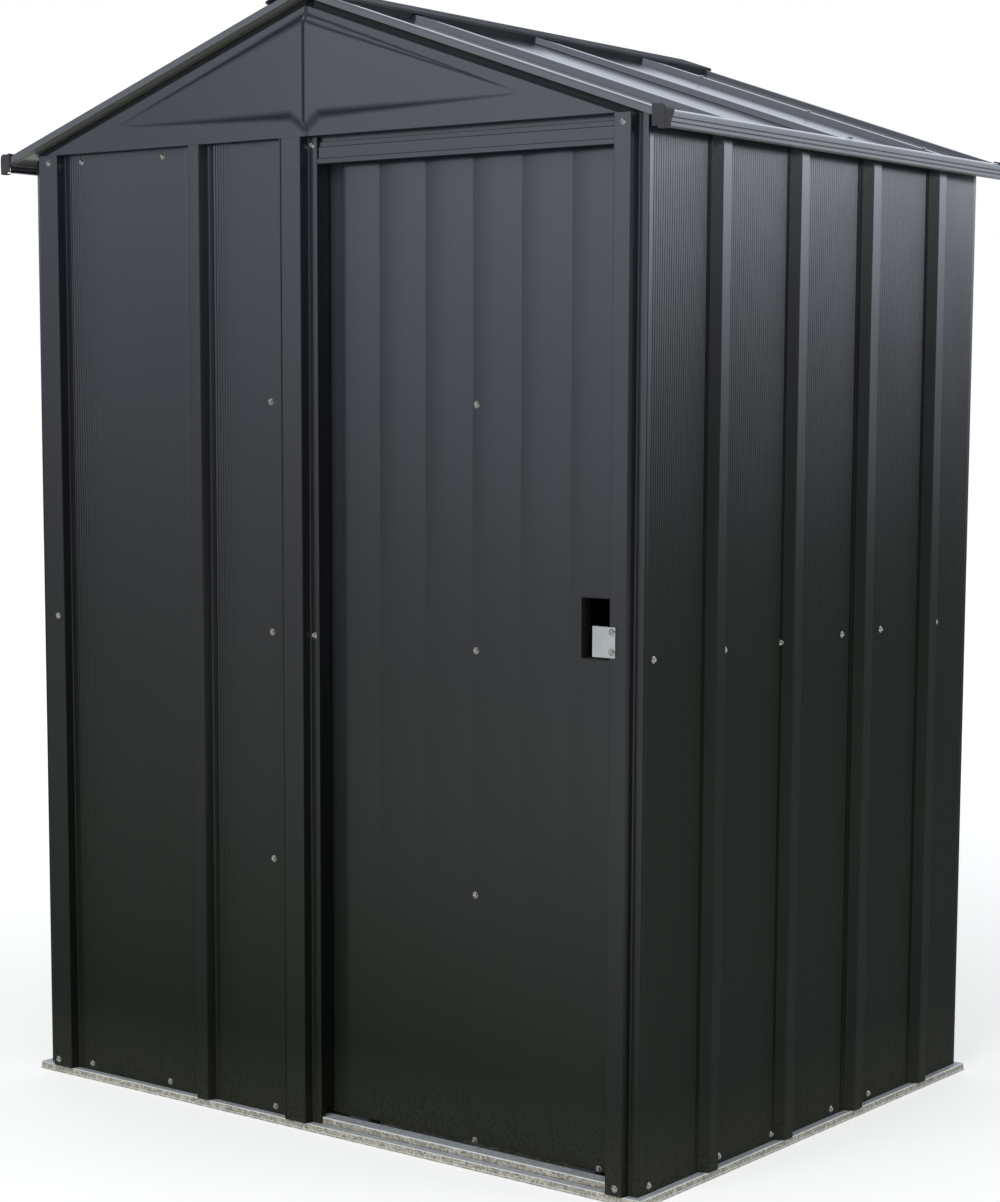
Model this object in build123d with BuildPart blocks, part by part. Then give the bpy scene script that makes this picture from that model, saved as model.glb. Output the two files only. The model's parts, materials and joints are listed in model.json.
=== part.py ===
# Metal tool shed: folded steel sheets on a base frame, a gable roof and one sliding door.
# Millimetres, +Z up, the front faces -Y, origin on the ground at the middle of the footprint.
import os
from math import atan, atan2, cos, degrees, sin, tan

from build123d import *

os.makedirs("parts", exist_ok=True)

# Overall sizes
wall_width = 1298.0
wall_depth = 998.0
front_height = 1619.0
eave_fall = 14.0
roof_rise = 232.5
eave_overhang = 49.0
rake_overhang = 34.0

# Sheet, seats and running gaps
sheet = 0.9
seat_gap = 0.2
running_gap = 0.5
clearance = 6.0

# Wall ribs
rib_height = 16.0
rib_top = 25.0
rib_run = 7.0
rib_pitch_share = 0.2224
rear_rib_pitch_share = 0.171
side_rib_shift = 17.0
lap_lip = 14.0
corner_return = 30.0

# Base frame
base_height = 13.0
base_step = 5.0
base_step_in = 2.5
base_overhang = 14.5
base_flange = 34.0
base_upstand = 27.0
sill_depth = 86.0

# Front columns and doorway
column_height = 16.0
column_run = 4.0
column_strip = 44.0
column_lip = 12.0
corner_strip = 25.0
right_post = 50.0
doorway_share = 0.456
jamb_strip = 29.0
jamb_face = 18.0
jamb_lip = 40.0
jamb_return = 26.0
jamb_notch = 24.0
front_rib_share = 0.628

# Door
door_lap_left = 24.0
door_lap_right = 10.0
door_planks = 6
door_margin = 28.0
door_bow = 3.0
door_setback = 36.0
door_depth = 20.0
door_bottom = 27.0
door_drop = 19.0
door_channel = 26.0
door_brace_height = 22.0
door_brace_shares = (0.257, 0.503, 0.748)
handle_width = 58.0
handle_height = 84.0
handle_lift = 3.0
handle_inset = 42.0
handle_depth = 24.0
handle_wall = 1.2

# Door tracks and runners
track_gap = 2.0
track_step = 16.0
track_height = 11.0
track_depth = 32.0
rail_front = 6.0
rail_depth = 74.0
rail_drop = 32.0
rail_shelf = 16.0
rail_lip = 9.0
glide_length = 46.0
glide_rise = 9.0
glide_hook = 6.0
glide_inset = 62.0
shoe_length = 40.0

# Door header
header_height = 34.0
header_band = 8.0
header_step = 1.8

# Inner rails and braces
rail_leg = 30.0
rail_flange = 26.0
brace_share = 0.508
brace_leg = 28.0
brace_depth = 15.0
beam_place_share = 0.47
beam_height = 38.0
beam_flange = 22.0

# Gables
gable_depth = 42.0
gable_end_height = 5.0
gable_edge_fall = 16.0
gable_edge_back = 12.0
pad_height = 7.0
pad_bevel = 11.0
pad_inset = 14.0
pad_low = 26.5
pad_tip_low = 38.0
pad_tip_share = 0.68
pad_drop = 27.0

# Roof sheets, trims and caps
roof_rib_height = 8.4
roof_rib_top = 20.0
roof_rib_run = 6.0
roof_rib_place_share = 0.6
ridge_opening = 8.0
rake_lip = 15.0
rake_roll = 3.0
eave_drop = 10.5
eave_lip = 14.0
eave_roll = 9.0
eave_groove = 1.8
eave_plain = 0.64
eave_groove_share = 0.29
trim_setback = 17.0
cap_width = 20.0
cap_depth = 25.0
cap_wall = 2.0
cap_round = 6.0
cap_lean = 16.0
tab_width = 12.0
tab_drop = 4.0
tab_round = 8.0
ridge_cap_half = 66.0
ridge_cap_lift = 3.6
ridge_cap_over = 3.0

# Hasp
hasp_width = 40.0
hasp_height = 46.0
hasp_lift = 4.0
hasp_over = 11.0
hasp_return = 14.0
hasp_sheet = 1.5

# Worked-out places
half_width = wall_width / 2
half_depth = wall_depth / 2
roof_half = half_width + eave_overhang
roof_half_depth = half_depth + rake_overhang
eave_height = front_height - eave_fall
ridge_height = eave_height + roof_rise
roof_slope = (ridge_height - eave_height) / roof_half
roof_angle = atan(roof_slope)
deck_drop = sheet / cos(roof_angle)
wall_bottom = base_height + seat_gap
side_wall_top = (
    ridge_height - roof_slope * (half_width + rib_height + sheet) - deck_drop - seat_gap
)
inner_face = sheet + seat_gap
gable_bottom = front_height + seat_gap
gable_face = half_depth + column_height + sheet
rib_pitch = wall_depth * rib_pitch_share
rear_rib_pitch = wall_width * rear_rib_pitch_share
doorway_right = half_width - right_post
doorway_left = doorway_right - wall_width * doorway_share
door_left = doorway_left - door_lap_left
door_right = doorway_right + door_lap_right
door_plank = (door_right - door_left - 2 * door_margin) / door_planks
door_top = front_height - door_drop
brace_height = front_height * brace_share
handle_sill = brace_height + handle_lift
hasp_sill = handle_sill + hasp_lift
door_back = door_setback + door_depth

# Planes: the sheets stand on wall planes, and long rails are drawn on section planes.
# On both kinds the depth into the shed is positive.
front_face = Plane(origin=(0, -half_depth, wall_bottom), x_dir=(1, 0, 0), z_dir=(0, 0, 1))
right_face = Plane(origin=(half_width, 0, wall_bottom), x_dir=(0, 1, 0), z_dir=(0, 0, 1))
rear_face = Plane(origin=(0, half_depth, wall_bottom), x_dir=(-1, 0, 0), z_dir=(0, 0, 1))
front_section = Plane(origin=(0, -half_depth, 0), x_dir=(0, 1, 0), z_dir=(1, 0, 0))
right_section = Plane(origin=(half_width, 0, 0), x_dir=(-1, 0, 0), z_dir=(0, 1, 0))
rear_section = Plane(origin=(0, half_depth, 0), x_dir=(0, -1, 0), z_dir=(-1, 0, 0))
slope_plane = Plane(
    origin=(0, 0, ridge_height),
    x_dir=(0, 1, 0),
    z_dir=(cos(roof_angle), 0, -sin(roof_angle)),
)


def save(piece, name):
    """Label a finished piece and write it as its own file."""
    piece.part.label = name
    export_step(piece.part, f"parts/{name}.step")


def save_mirrored(piece, name, about=Plane.YZ):
    """Write the opposite-hand twin of a piece."""
    with BuildPart() as twin:
        mirror(piece.part, about=about)
    save(twin, name)


def save_pair(piece, name):
    """Write a piece of the right half together with its twin on the left."""
    with BuildPart() as pair:
        add(piece.part)
        mirror(about=Plane.YZ)
    save(pair, name)


def bent_outline(points, thickness, side):
    """Outline of a sheet bent along a line, with its thickness on one side of the line."""
    reach = thickness if side == Side.RIGHT else -thickness
    bends = [Vector(*point) for point in points]
    runs = [(end - start).normalized() for start, end in zip(bends, bends[1:])]
    befores = runs[:1] + runs
    afters = runs + runs[-1:]
    back = []
    for bend, before, after in zip(bends, befores, afters):
        bisector = before + after
        mitre = 2 * reach / bisector.dot(bisector)
        back.append(bend + Vector(bisector.Y, -bisector.X) * mitre)
    return bends + back[::-1]


def folded(plane, points, length, side=Side.RIGHT, both=False, thickness=sheet, rolls=()):
    """Fold one strip of sheet along a line of bends and run it to its length."""
    with BuildPart() as strip:
        with BuildSketch(plane) as outline:
            with BuildLine():
                Polyline(*bent_outline(points, thickness, side), close=True)
            make_face()
            for bend, radius in rolls:
                outer, inner = outline.vertices().sort_by_distance(bend)[:2]
                fillet(outer, radius)
                fillet(outline.vertices().sort_by_distance(inner)[0], radius - thickness)
        extrude(amount=length, both=both)
    return strip


def ribs(centres, height, top, run, lift=0):
    """Bend points of outward ribs; lift widens them to nest over another sheet."""
    widen = lift * tan(atan2(abs(height), run) / 2)
    out = 1 if height > 0 else -1
    bends = []
    for centre in centres:
        half_top = top / 2 + widen
        half_foot = half_top + run
        bends.append((centre - half_foot, out * lift))
        bends.append((centre - half_top, height + out * lift))
        bends.append((centre + half_top, height + out * lift))
        bends.append((centre + half_foot, out * lift))
    return bends


def wall_ribs(centres, lift=0):
    """Ribs of a wall sheet, which stand outward from the flats."""
    return ribs(centres, -rib_height, rib_top, rib_run, lift)


# Base frame: stepped rails mitred at the corners, with an upstand behind the wall sheets
base_profile = [
    (base_flange - base_overhang, 0),
    (-base_overhang, 0),
    (-base_overhang, base_step),
    (base_step_in - base_overhang, base_step),
    (base_step_in - base_overhang, base_height),
]
upstand_profile = base_profile + [
    (inner_face, base_height),
    (inner_face, base_height + base_upstand),
]
sill_profile = base_profile + [
    (sill_depth, base_height),
    (sill_depth, 0),
    (sill_depth - base_flange / 2, 0),
]
base_half_width = half_width + base_overhang
base_half_depth = half_depth + base_overhang


def mitred_rail(plane, points, half_length, across):
    """Run a base rail between two corners and mitre both of its ends."""
    rail = folded(plane, points, half_length, both=True)
    with BuildPart() as mitred:
        add(rail.part)
        for corner, normal in across:
            split(
                bisect_by=Plane(origin=corner, z_dir=normal).offset(-seat_gap / 2),
                keep=Keep.BOTTOM,
            )
    return mitred


front_right = (base_half_width, -base_half_depth, 0)
front_left = (-base_half_width, -base_half_depth, 0)
rear_right = (base_half_width, base_half_depth, 0)
rear_left = (-base_half_width, base_half_depth, 0)
base_front = mitred_rail(
    front_section,
    sill_profile,
    base_half_width,
    ((front_right, (1, 1, 0)), (front_left, (-1, 1, 0))),
)
save(base_front, "base_rail_front")
base_rear = mitred_rail(
    rear_section,
    upstand_profile,
    base_half_width,
    ((rear_right, (1, -1, 0)), (rear_left, (-1, -1, 0))),
)
save(base_rear, "base_rail_rear")
base_right = mitred_rail(
    right_section,
    upstand_profile,
    base_half_depth,
    ((front_right, (-1, -1, 0)), (rear_right, (-1, 1, 0))),
)
save(base_right, "base_rail_right")
save_mirrored(base_right, "base_rail_left")

# Angle on the sill behind the fixed front sheet
angle_left = -half_width + corner_return
angle_right = doorway_left - jamb_face
notch_front = track_step - sheet - clearance
sill_angle = folded(
    front_section.offset(angle_left),
    [
        (inner_face, base_height + base_upstand),
        (inner_face, base_height + seat_gap),
        (notch_front, base_height + seat_gap),
    ],
    angle_right - angle_left,
    side=Side.LEFT,
)
save(sill_angle, "base_angle_front")

# Door track on the sill: a step in front of a channel the door shoes run in
track_half = half_width - brace_depth - clearance
track_front = jamb_return + track_gap
track_rear = track_front + track_depth
track_floor = base_height + seat_gap
track_top = track_floor + track_height
door_track = folded(
    front_section,
    [
        (track_step, track_floor),
        (track_step, track_top - sheet),
        (track_front, track_top - sheet),
        (track_front, track_floor),
        (track_rear, track_floor),
        (track_rear, track_top),
    ],
    track_half,
    side=Side.LEFT,
    both=True,
)
save(door_track, "door_track")

# Side walls: two sheets each, folded round the corners and lapped at the third rib
side_ribs = [
    side_rib_shift - 3 * rib_pitch / 2,
    side_rib_shift - rib_pitch / 2,
    side_rib_shift + rib_pitch / 2,
    side_rib_shift + 3 * rib_pitch / 2,
]
lap_rib = side_ribs[2]
lap_reach = rib_top / 2 + rib_run + lap_lip
side_height = side_wall_top - wall_bottom
side_front = folded(
    right_face,
    [(-half_depth, corner_return), (-half_depth, 0)]
    + wall_ribs(side_ribs[:3])
    + [(lap_rib + lap_reach, 0)],
    side_height,
    side=Side.LEFT,
)
save(side_front, "wall_right_front")
save_mirrored(side_front, "wall_left_front")
side_rear = folded(
    right_face,
    [(lap_rib - lap_reach, -seat_gap)]
    + wall_ribs(side_ribs[2:], lift=seat_gap)
    + [(half_depth + seat_gap, -seat_gap), (half_depth + seat_gap, corner_return)],
    side_height,
)
save(side_rear, "wall_right_rear")
save_mirrored(side_rear, "wall_left_rear")

# Rear wall: two sheets lapped at the middle rib
rear_end = half_width - sheet - seat_gap
rear_height = front_height - wall_bottom
rear_under = folded(
    rear_face,
    [(-rear_end, 0)]
    + wall_ribs([-2 * rear_rib_pitch, -rear_rib_pitch, 0])
    + [(lap_reach, 0)],
    rear_height,
    side=Side.LEFT,
)
save(rear_under, "wall_rear_right")
rear_over = folded(
    rear_face,
    [(-lap_reach, -seat_gap)]
    + wall_ribs([0, rear_rib_pitch, 2 * rear_rib_pitch], lift=seat_gap)
    + [(rear_end - corner_return, -seat_gap)],
    rear_height,
)
save(rear_over, "wall_rear_left")

# Fixed front sheet, between the corner column and the left jamb
jamb_foot = doorway_left - jamb_face
jamb_strip_right = jamb_foot - column_run
jamb_strip_left = jamb_strip_right - column_strip
corner_strip_left = -half_width + corner_strip
corner_strip_right = corner_strip_left + column_strip
front_rib = corner_strip_right + (jamb_strip_left - corner_strip_right) * front_rib_share
wall_front = folded(
    front_face,
    [(corner_strip_left + column_strip / 2, 0)]
    + wall_ribs([front_rib])
    + [(jamb_strip_left + column_strip / 2, 0)],
    rear_height,
    side=Side.LEFT,
)
save(wall_front, "wall_front")

# Front columns: the corner column, the left jamb and the right jamb
corner_column = folded(
    front_face,
    [
        (corner_strip_left - column_run - column_lip, -seat_gap),
        (corner_strip_left - column_run, -seat_gap),
        (corner_strip_left, -column_height),
        (corner_strip_right, -column_height),
        (corner_strip_right + column_run, -seat_gap),
        (corner_strip_right + column_run + column_lip, -seat_gap),
    ],
    rear_height,
)
save(corner_column, "corner_column_left")
jamb_left_fold = folded(
    front_face,
    [
        (jamb_strip_left - column_run - jamb_lip, -seat_gap),
        (jamb_strip_left - column_run, -seat_gap),
        (jamb_strip_left, -column_height),
        (jamb_strip_right, -column_height),
        (jamb_foot, -seat_gap),
        (doorway_left, -seat_gap),
        (doorway_left, jamb_return),
    ],
    rear_height,
)
jamb_strip_end = doorway_right + jamb_strip
jamb_right_fold = folded(
    front_face,
    [
        (doorway_right, jamb_return),
        (doorway_right, -column_height),
        (jamb_strip_end, -column_height),
        (jamb_strip_end + column_run, -seat_gap),
        (half_width - seat_gap, -seat_gap),
    ],
    rear_height,
)
rail_rear = rail_front + rail_depth
rail_top = front_height
shelf_height = rail_top - rail_drop
jambs = ((jamb_left_fold, "door_jamb_left"), (jamb_right_fold, "door_jamb_right"))
for fold, name in jambs:
    with BuildPart() as jamb:
        add(fold.part)
        with BuildSketch(front_section.offset(-half_width)):
            with BuildLine():
                Polyline(
                    (rail_front - seat_gap, shelf_height - clearance),
                    (rail_rear, shelf_height - clearance),
                    (rail_rear, ridge_height),
                    (rail_front - seat_gap, ridge_height),
                    close=True,
                )
            make_face()
            with BuildLine():
                Polyline(
                    (notch_front, 0),
                    (rail_rear, 0),
                    (rail_rear, wall_bottom + jamb_notch),
                    (notch_front, wall_bottom + jamb_notch),
                    close=True,
                )
            make_face()
        extrude(amount=wall_width, mode=Mode.SUBTRACT)
    save(jamb, name)

# Top door rail behind the front sheets, with a shelf and lip that carry the door glides
lip_depth = rail_rear - rail_shelf
rail_half = half_width - inner_face
door_rail = folded(
    front_section,
    [
        (rail_front, shelf_height),
        (rail_front, rail_top),
        (rail_rear, rail_top),
        (rail_rear, shelf_height),
        (lip_depth, shelf_height),
        (lip_depth, shelf_height + rail_lip),
    ],
    rail_half,
    both=True,
)
save(door_rail, "door_rail_top")

# Header over the doorway, stepped in three bands
header_top = rail_top - header_band
header_bottom = header_top - header_height
header_left = doorway_left + sheet + seat_gap
header_right = doorway_right - sheet - seat_gap
header_back = rail_front - seat_gap
header = folded(
    front_section.offset(header_left),
    [
        (header_back, header_bottom),
        (0, header_bottom),
        (0, header_bottom + header_band),
        (header_step, header_bottom + header_band),
        (header_step, header_top - header_band),
        (2 * header_step, header_top - header_band),
        (2 * header_step, header_top),
        (header_back, header_top),
    ],
    header_right - header_left,
)
save(header, "door_header")

# Rails along the wall heads and braces at half height
side_rail = folded(
    right_section.offset(-half_depth + rail_rear + seat_gap),
    [
        (inner_face, eave_height - rail_leg),
        (inner_face, eave_height),
        (rail_flange, eave_height),
    ],
    wall_depth - rail_rear - rail_flange - inner_face,
)
save_pair(side_rail, "wall_rails_side")
rear_rail = folded(
    rear_section,
    [
        (inner_face, rail_top - rail_leg),
        (inner_face, rail_top),
        (rail_flange, rail_top),
    ],
    rail_half - seat_gap,
    both=True,
)
save(rear_rail, "wall_rail_rear")
brace_profile = [
    (brace_depth, brace_height - brace_leg / 2),
    (inner_face, brace_height - brace_leg / 2),
    (inner_face, brace_height + brace_leg / 2),
    (brace_depth, brace_height + brace_leg / 2),
]
side_brace = folded(
    right_section.offset(-half_depth + inner_face),
    brace_profile,
    wall_depth - 2 * inner_face,
)
save_pair(side_brace, "wall_braces_side")
rear_brace = folded(
    rear_section, brace_profile, half_width - brace_depth - seat_gap, both=True
)
save(rear_brace, "wall_brace_rear")

# Gables: two trays each, flush with the front columns and bent back along the roof edge,
# with a triangle pressed outward that runs out to nothing at its tip


def gable_top(x):
    """Height of the gable under the roof sheet at a distance from the middle."""
    return ridge_height - roof_slope * x - deck_drop - seat_gap


gable_end = (gable_top(0) - gable_bottom - gable_end_height) / roof_slope
pad_tip = gable_end * pad_tip_share
with BuildPart() as pad:
    with BuildSketch(Plane.XZ.offset(gable_face)):
        with BuildLine():
            Polyline(
                (pad_inset, gable_bottom + pad_low),
                (pad_tip, gable_bottom + pad_tip_low),
                (pad_inset, gable_top(pad_inset) - pad_drop),
                close=True,
            )
        make_face()
    extrude(amount=pad_height, taper=degrees(atan2(pad_bevel, pad_height)))
    split(
        bisect_by=Plane(
            origin=(pad_tip, -gable_face, gable_bottom),
            z_dir=(pad_height, pad_inset - pad_tip, 0),
        ),
        keep=Keep.BOTTOM,
    )
with BuildPart() as gable:
    with BuildSketch(Plane.XZ.offset(gable_face)):
        with BuildLine():
            Polyline(
                (seat_gap, gable_bottom),
                (gable_end, gable_bottom),
                (gable_end, gable_top(gable_end)),
                (seat_gap, gable_top(seat_gap)),
                close=True,
            )
        make_face()
    extrude(amount=-gable_depth)
    split(
        bisect_by=Plane(
            origin=(0, -gable_face, gable_top(0) - gable_edge_fall),
            z_dir=(roof_slope * gable_edge_back, -gable_edge_fall, gable_edge_back),
        ),
        keep=Keep.BOTTOM,
    )
    offset(amount=-sheet, openings=gable.faces().sort_by(Axis.Y)[-1])
    add(pad.part)
    with Locations((0, sheet, 0)):
        add(pad.part, mode=Mode.SUBTRACT)
save(gable, "gable_front_right")
save_mirrored(gable, "gable_front_left")
save_mirrored(gable, "gable_rear_right", about=Plane.XZ)
with BuildPart() as gable_turned:
    mirror(gable.part, about=Plane.XZ)
save_mirrored(gable_turned, "gable_rear_left")

# Roof beams from gable to gable, under the roof sheets
beam_in = roof_half * beam_place_share
beam_out = beam_in + beam_flange
beam_top = gable_top(beam_out) - deck_drop - seat_gap
roof_beam = folded(
    Plane.XZ,
    [
        (beam_out, beam_top),
        (beam_in, beam_top),
        (beam_in, beam_top - beam_height),
        (beam_out, beam_top - beam_height),
    ],
    gable_face - gable_edge_back - inner_face,
    side=Side.LEFT,
    both=True,
)
save_pair(roof_beam, "roof_beams")

# Roof sheets: two a side, with standing ribs down the slope, lapped at the middle rib
deck_start = ridge_opening / cos(roof_angle)
deck_edge = roof_half_depth - inner_face
edge_rise = roof_rib_height - rake_roll
roof_rib = roof_half_depth * roof_rib_place_share
roof_lap = roof_rib_top / 2 + roof_rib_run + lap_lip


def roof_ribs(centres, lift=0):
    """Standing ribs of a roof sheet."""
    return ribs(centres, roof_rib_height, roof_rib_top, roof_rib_run, lift)


roof_run = (roof_half + roof_rib_height) / cos(roof_angle) - deck_start
roof_end = roof_half - eave_roll


def roof_sheet(points, side):
    """Run a roof sheet down the slope and cut its lower end plumb."""
    run = folded(slope_plane.offset(deck_start), points, roof_run, side=side)
    with BuildPart() as deck:
        add(run.part)
        split(bisect_by=Plane.YZ.offset(roof_end), keep=Keep.BOTTOM)
    return deck


roof_front = roof_sheet(
    [(sheet - deck_edge, edge_rise), (sheet - deck_edge, 0)]
    + roof_ribs([-roof_rib, 0])
    + [(roof_lap, 0)],
    Side.RIGHT,
)
save(roof_front, "roof_right_front")
save_mirrored(roof_front, "roof_left_front")
roof_rear = roof_sheet(
    [(-roof_lap, seat_gap)]
    + roof_ribs([0, roof_rib], lift=seat_gap)
    + [(deck_edge - sheet, seat_gap), (deck_edge - sheet, edge_rise)],
    Side.LEFT,
)
save(roof_rear, "roof_right_rear")
save_mirrored(roof_rear, "roof_left_rear")

# Rake trims wrap the front and rear edges of the roof sheets
rake_drop = 2 * sheet + seat_gap
rake_top = roof_rib_height + seat_gap + sheet
rake_end = (roof_half - trim_setback) / cos(roof_angle)
rake_run = folded(
    slope_plane.offset(-rake_top),
    [
        (rake_lip - roof_half_depth, -rake_drop),
        (-roof_half_depth, -rake_drop),
        (-roof_half_depth, rake_top),
        (rake_lip - roof_half_depth, rake_top),
    ],
    rake_end + rake_top,
    rolls=[((-roof_half_depth, rake_top), rake_roll)],
)
with BuildPart() as rake_trim:
    add(rake_run.part)
    split(bisect_by=Plane.YZ.offset(seat_gap), keep=Keep.TOP)
save_pair(rake_trim, "rake_trims_front")
with BuildPart() as rake_turned:
    mirror(rake_trim.part, about=Plane.XZ)
save_pair(rake_turned, "rake_trims_rear")

# Eave trims: a grooved face with a rolled head over the ends of the roof sheets
trim_seat = roof_rib_height + sheet + 2 * seat_gap
eave_rise = trim_seat / cos(roof_angle) + deck_drop
eave_face = eave_drop + eave_rise
roll_reach = eave_roll * cos(roof_angle) / (1 + sin(roof_angle))
groove_high = eave_face - roll_reach - eave_plain - eave_groove
groove_low = eave_face * eave_groove_share
eave_trim = folded(
    Plane(origin=(roof_half, 0, eave_height - eave_drop), x_dir=(1, 0, 0), z_dir=(0, -1, 0)),
    [
        (-eave_lip, eave_face + eave_lip * roof_slope),
        (0, eave_face),
        (0, groove_high + eave_groove),
        (-eave_groove, groove_high),
        (0, groove_high - eave_groove),
        (0, groove_low + eave_groove),
        (-eave_groove, groove_low),
        (0, groove_low - eave_groove),
        (0, 0),
        (-eave_lip, 0),
    ],
    roof_half_depth - trim_setback,
    both=True,
    rolls=[((0, eave_face), eave_roll)],
)
save(eave_trim, "eave_trim_right")
save_mirrored(eave_trim, "eave_trim_left")

# Moulded caps slip over the trim ends at the roof corners, with a tab down the outer side
cap_left = roof_half - cap_width
cap_right = roof_half + seat_gap + cap_wall
cap_front = -roof_half_depth - seat_gap - cap_wall
cap_back = -roof_half_depth + cap_depth
cap_low = eave_height - eave_drop - tab_drop
cap_high = eave_height + eave_rise + seat_gap + cap_wall
cap_edge_low = eave_height + cap_width * roof_slope - rake_drop - seat_gap - cap_wall
tab_left = cap_right - tab_width
with BuildPart() as corner_cap:
    with BuildSketch(Plane.XZ.offset(-cap_back)) as cap_face:
        with BuildLine():
            Polyline(
                (cap_left, cap_edge_low),
                (tab_left, cap_edge_low),
                (tab_left, cap_low),
                (cap_right, cap_low),
                (cap_right, cap_high),
                (cap_left, cap_high + (cap_right - cap_left) * roof_slope),
                close=True,
            )
        make_face()
        fillet(cap_face.vertices().sort_by_distance((tab_left, cap_edge_low))[0], tab_round)
        fillet(cap_face.vertices().sort_by_distance((cap_right, cap_high))[0], cap_round)
    extrude(amount=cap_back - cap_front)
    with BuildSketch(Plane.XZ.offset(-cap_back)) as cap_room:
        with BuildLine():
            Polyline(
                (cap_left, cap_low + cap_wall),
                (cap_right - cap_wall, cap_low + cap_wall),
                (cap_right - cap_wall, cap_high - cap_wall),
                (cap_left, cap_high - cap_wall + (cap_right - cap_left) * roof_slope),
                close=True,
            )
        make_face()
        fillet(
            cap_room.vertices().sort_by_distance((cap_right - cap_wall, cap_high - cap_wall))[0],
            cap_round - cap_wall,
        )
    extrude(amount=cap_back - cap_front - cap_wall, mode=Mode.SUBTRACT)
    split(
        bisect_by=Plane(origin=(0, cap_back, cap_high), z_dir=(0, cap_high - cap_low, -cap_lean)),
        keep=Keep.BOTTOM,
    )
with BuildPart() as corner_caps:
    add(corner_cap.part)
    mirror(about=Plane.YZ)
    mirror(about=Plane.XZ)
save(corner_caps, "roof_corner_caps")

# Ridge cap over the sheet heads, its lips down on the sheets and notched over ribs and trims
cap_seat = (trim_seat + ridge_cap_lift) / cos(roof_angle)
ridge_edge = cap_seat - ridge_cap_half * roof_slope
ridge_lip = cap_seat - (sheet + 2 * seat_gap) / cos(roof_angle)
ridge_fold = folded(
    Plane(origin=(0, 0, ridge_height), x_dir=(1, 0, 0), z_dir=(0, -1, 0)),
    [
        (-ridge_cap_half, ridge_edge - ridge_lip),
        (-ridge_cap_half, ridge_edge),
        (0, cap_seat),
        (ridge_cap_half, ridge_edge),
        (ridge_cap_half, ridge_edge - ridge_lip),
    ],
    roof_half_depth + ridge_cap_over,
    side=Side.LEFT,
    both=True,
)
rib_notch = roof_rib_top / 2 + roof_rib_run + sheet + seat_gap
end_notch = rake_lip + seat_gap
notches = (
    (-roof_half_depth, end_notch),
    (-roof_rib, rib_notch),
    (0, rib_notch),
    (roof_rib, rib_notch),
    (roof_half_depth, end_notch),
)
with BuildPart() as ridge_cap:
    add(ridge_fold.part)
    for centre, notch_half in notches:
        with BuildSketch(Plane.YZ.offset(-roof_half)):
            with BuildLine():
                Polyline(
                    (centre - notch_half, eave_height),
                    (centre + notch_half, eave_height),
                    (centre + notch_half, ridge_height + ridge_edge),
                    (centre - notch_half, ridge_height + ridge_edge),
                    close=True,
                )
            make_face()
        extrude(amount=2 * roof_half, mode=Mode.SUBTRACT)
save(ridge_cap, "ridge_cap")

# Hasp plate screwed to the right jamb, bent back at its free edge
hasp_right = doorway_right + hasp_over
hasp_seat = -column_height - sheet - seat_gap
hasp = folded(
    front_face.offset(hasp_sill - wall_bottom),
    [
        (hasp_right - hasp_width, hasp_seat + hasp_return),
        (hasp_right - hasp_width, hasp_seat),
        (hasp_right, hasp_seat),
    ],
    hasp_height,
    thickness=hasp_sheet,
)
save(hasp, "hasp_plate")

# Door sheet: six shallow bowed planks, folded back at both edges, with the handle cut out
handle_right = door_right - handle_inset
handle_left = handle_right - handle_width
with BuildPart() as door_sheet:
    with BuildSketch(front_face.offset(door_bottom - wall_bottom)):
        with BuildLine():
            first = door_left + door_margin
            last = door_right - door_margin
            inner = door_setback + sheet
            Polyline(
                (first, inner),
                (door_left + sheet, inner),
                (door_left + sheet, door_back),
                (door_left, door_back),
                (door_left, door_setback),
                (first, door_setback),
            )
            Polyline(
                (last, inner),
                (door_right - sheet, inner),
                (door_right - sheet, door_back),
                (door_right, door_back),
                (door_right, door_setback),
                (last, door_setback),
            )
            for plank in range(door_planks):
                begin = first + plank * door_plank
                for depth in (door_setback, inner):
                    SagittaArc((begin, depth), (begin + door_plank, depth), -door_bow)
        make_face()
    extrude(amount=door_top - door_bottom)
    with BuildSketch(Plane.XZ.offset(half_depth)):
        with BuildLine():
            Polyline(
                (handle_left, handle_sill),
                (handle_right, handle_sill),
                (handle_right, handle_sill + handle_height),
                (handle_left, handle_sill + handle_height),
                close=True,
            )
        make_face()
    extrude(amount=-door_back, mode=Mode.SUBTRACT)
save(door_sheet, "door_sheet")

# Door handle: a sleeve through the cut-out
sleeve_left = handle_left + seat_gap
sleeve_right = handle_right - seat_gap
sleeve_low = handle_sill + seat_gap
sleeve_high = handle_sill + handle_height - seat_gap
with BuildPart() as handle:
    with BuildSketch(Plane.XZ.offset(half_depth - door_setback + door_bow)):
        with BuildLine():
            Polyline(
                (sleeve_left, sleeve_low),
                (sleeve_right, sleeve_low),
                (sleeve_right, sleeve_high),
                (sleeve_left, sleeve_high),
                close=True,
            )
        make_face()
        offset(amount=-handle_wall, kind=Kind.INTERSECTION, mode=Mode.SUBTRACT)
    extrude(amount=-handle_depth)
save(handle, "door_handle")

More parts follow.
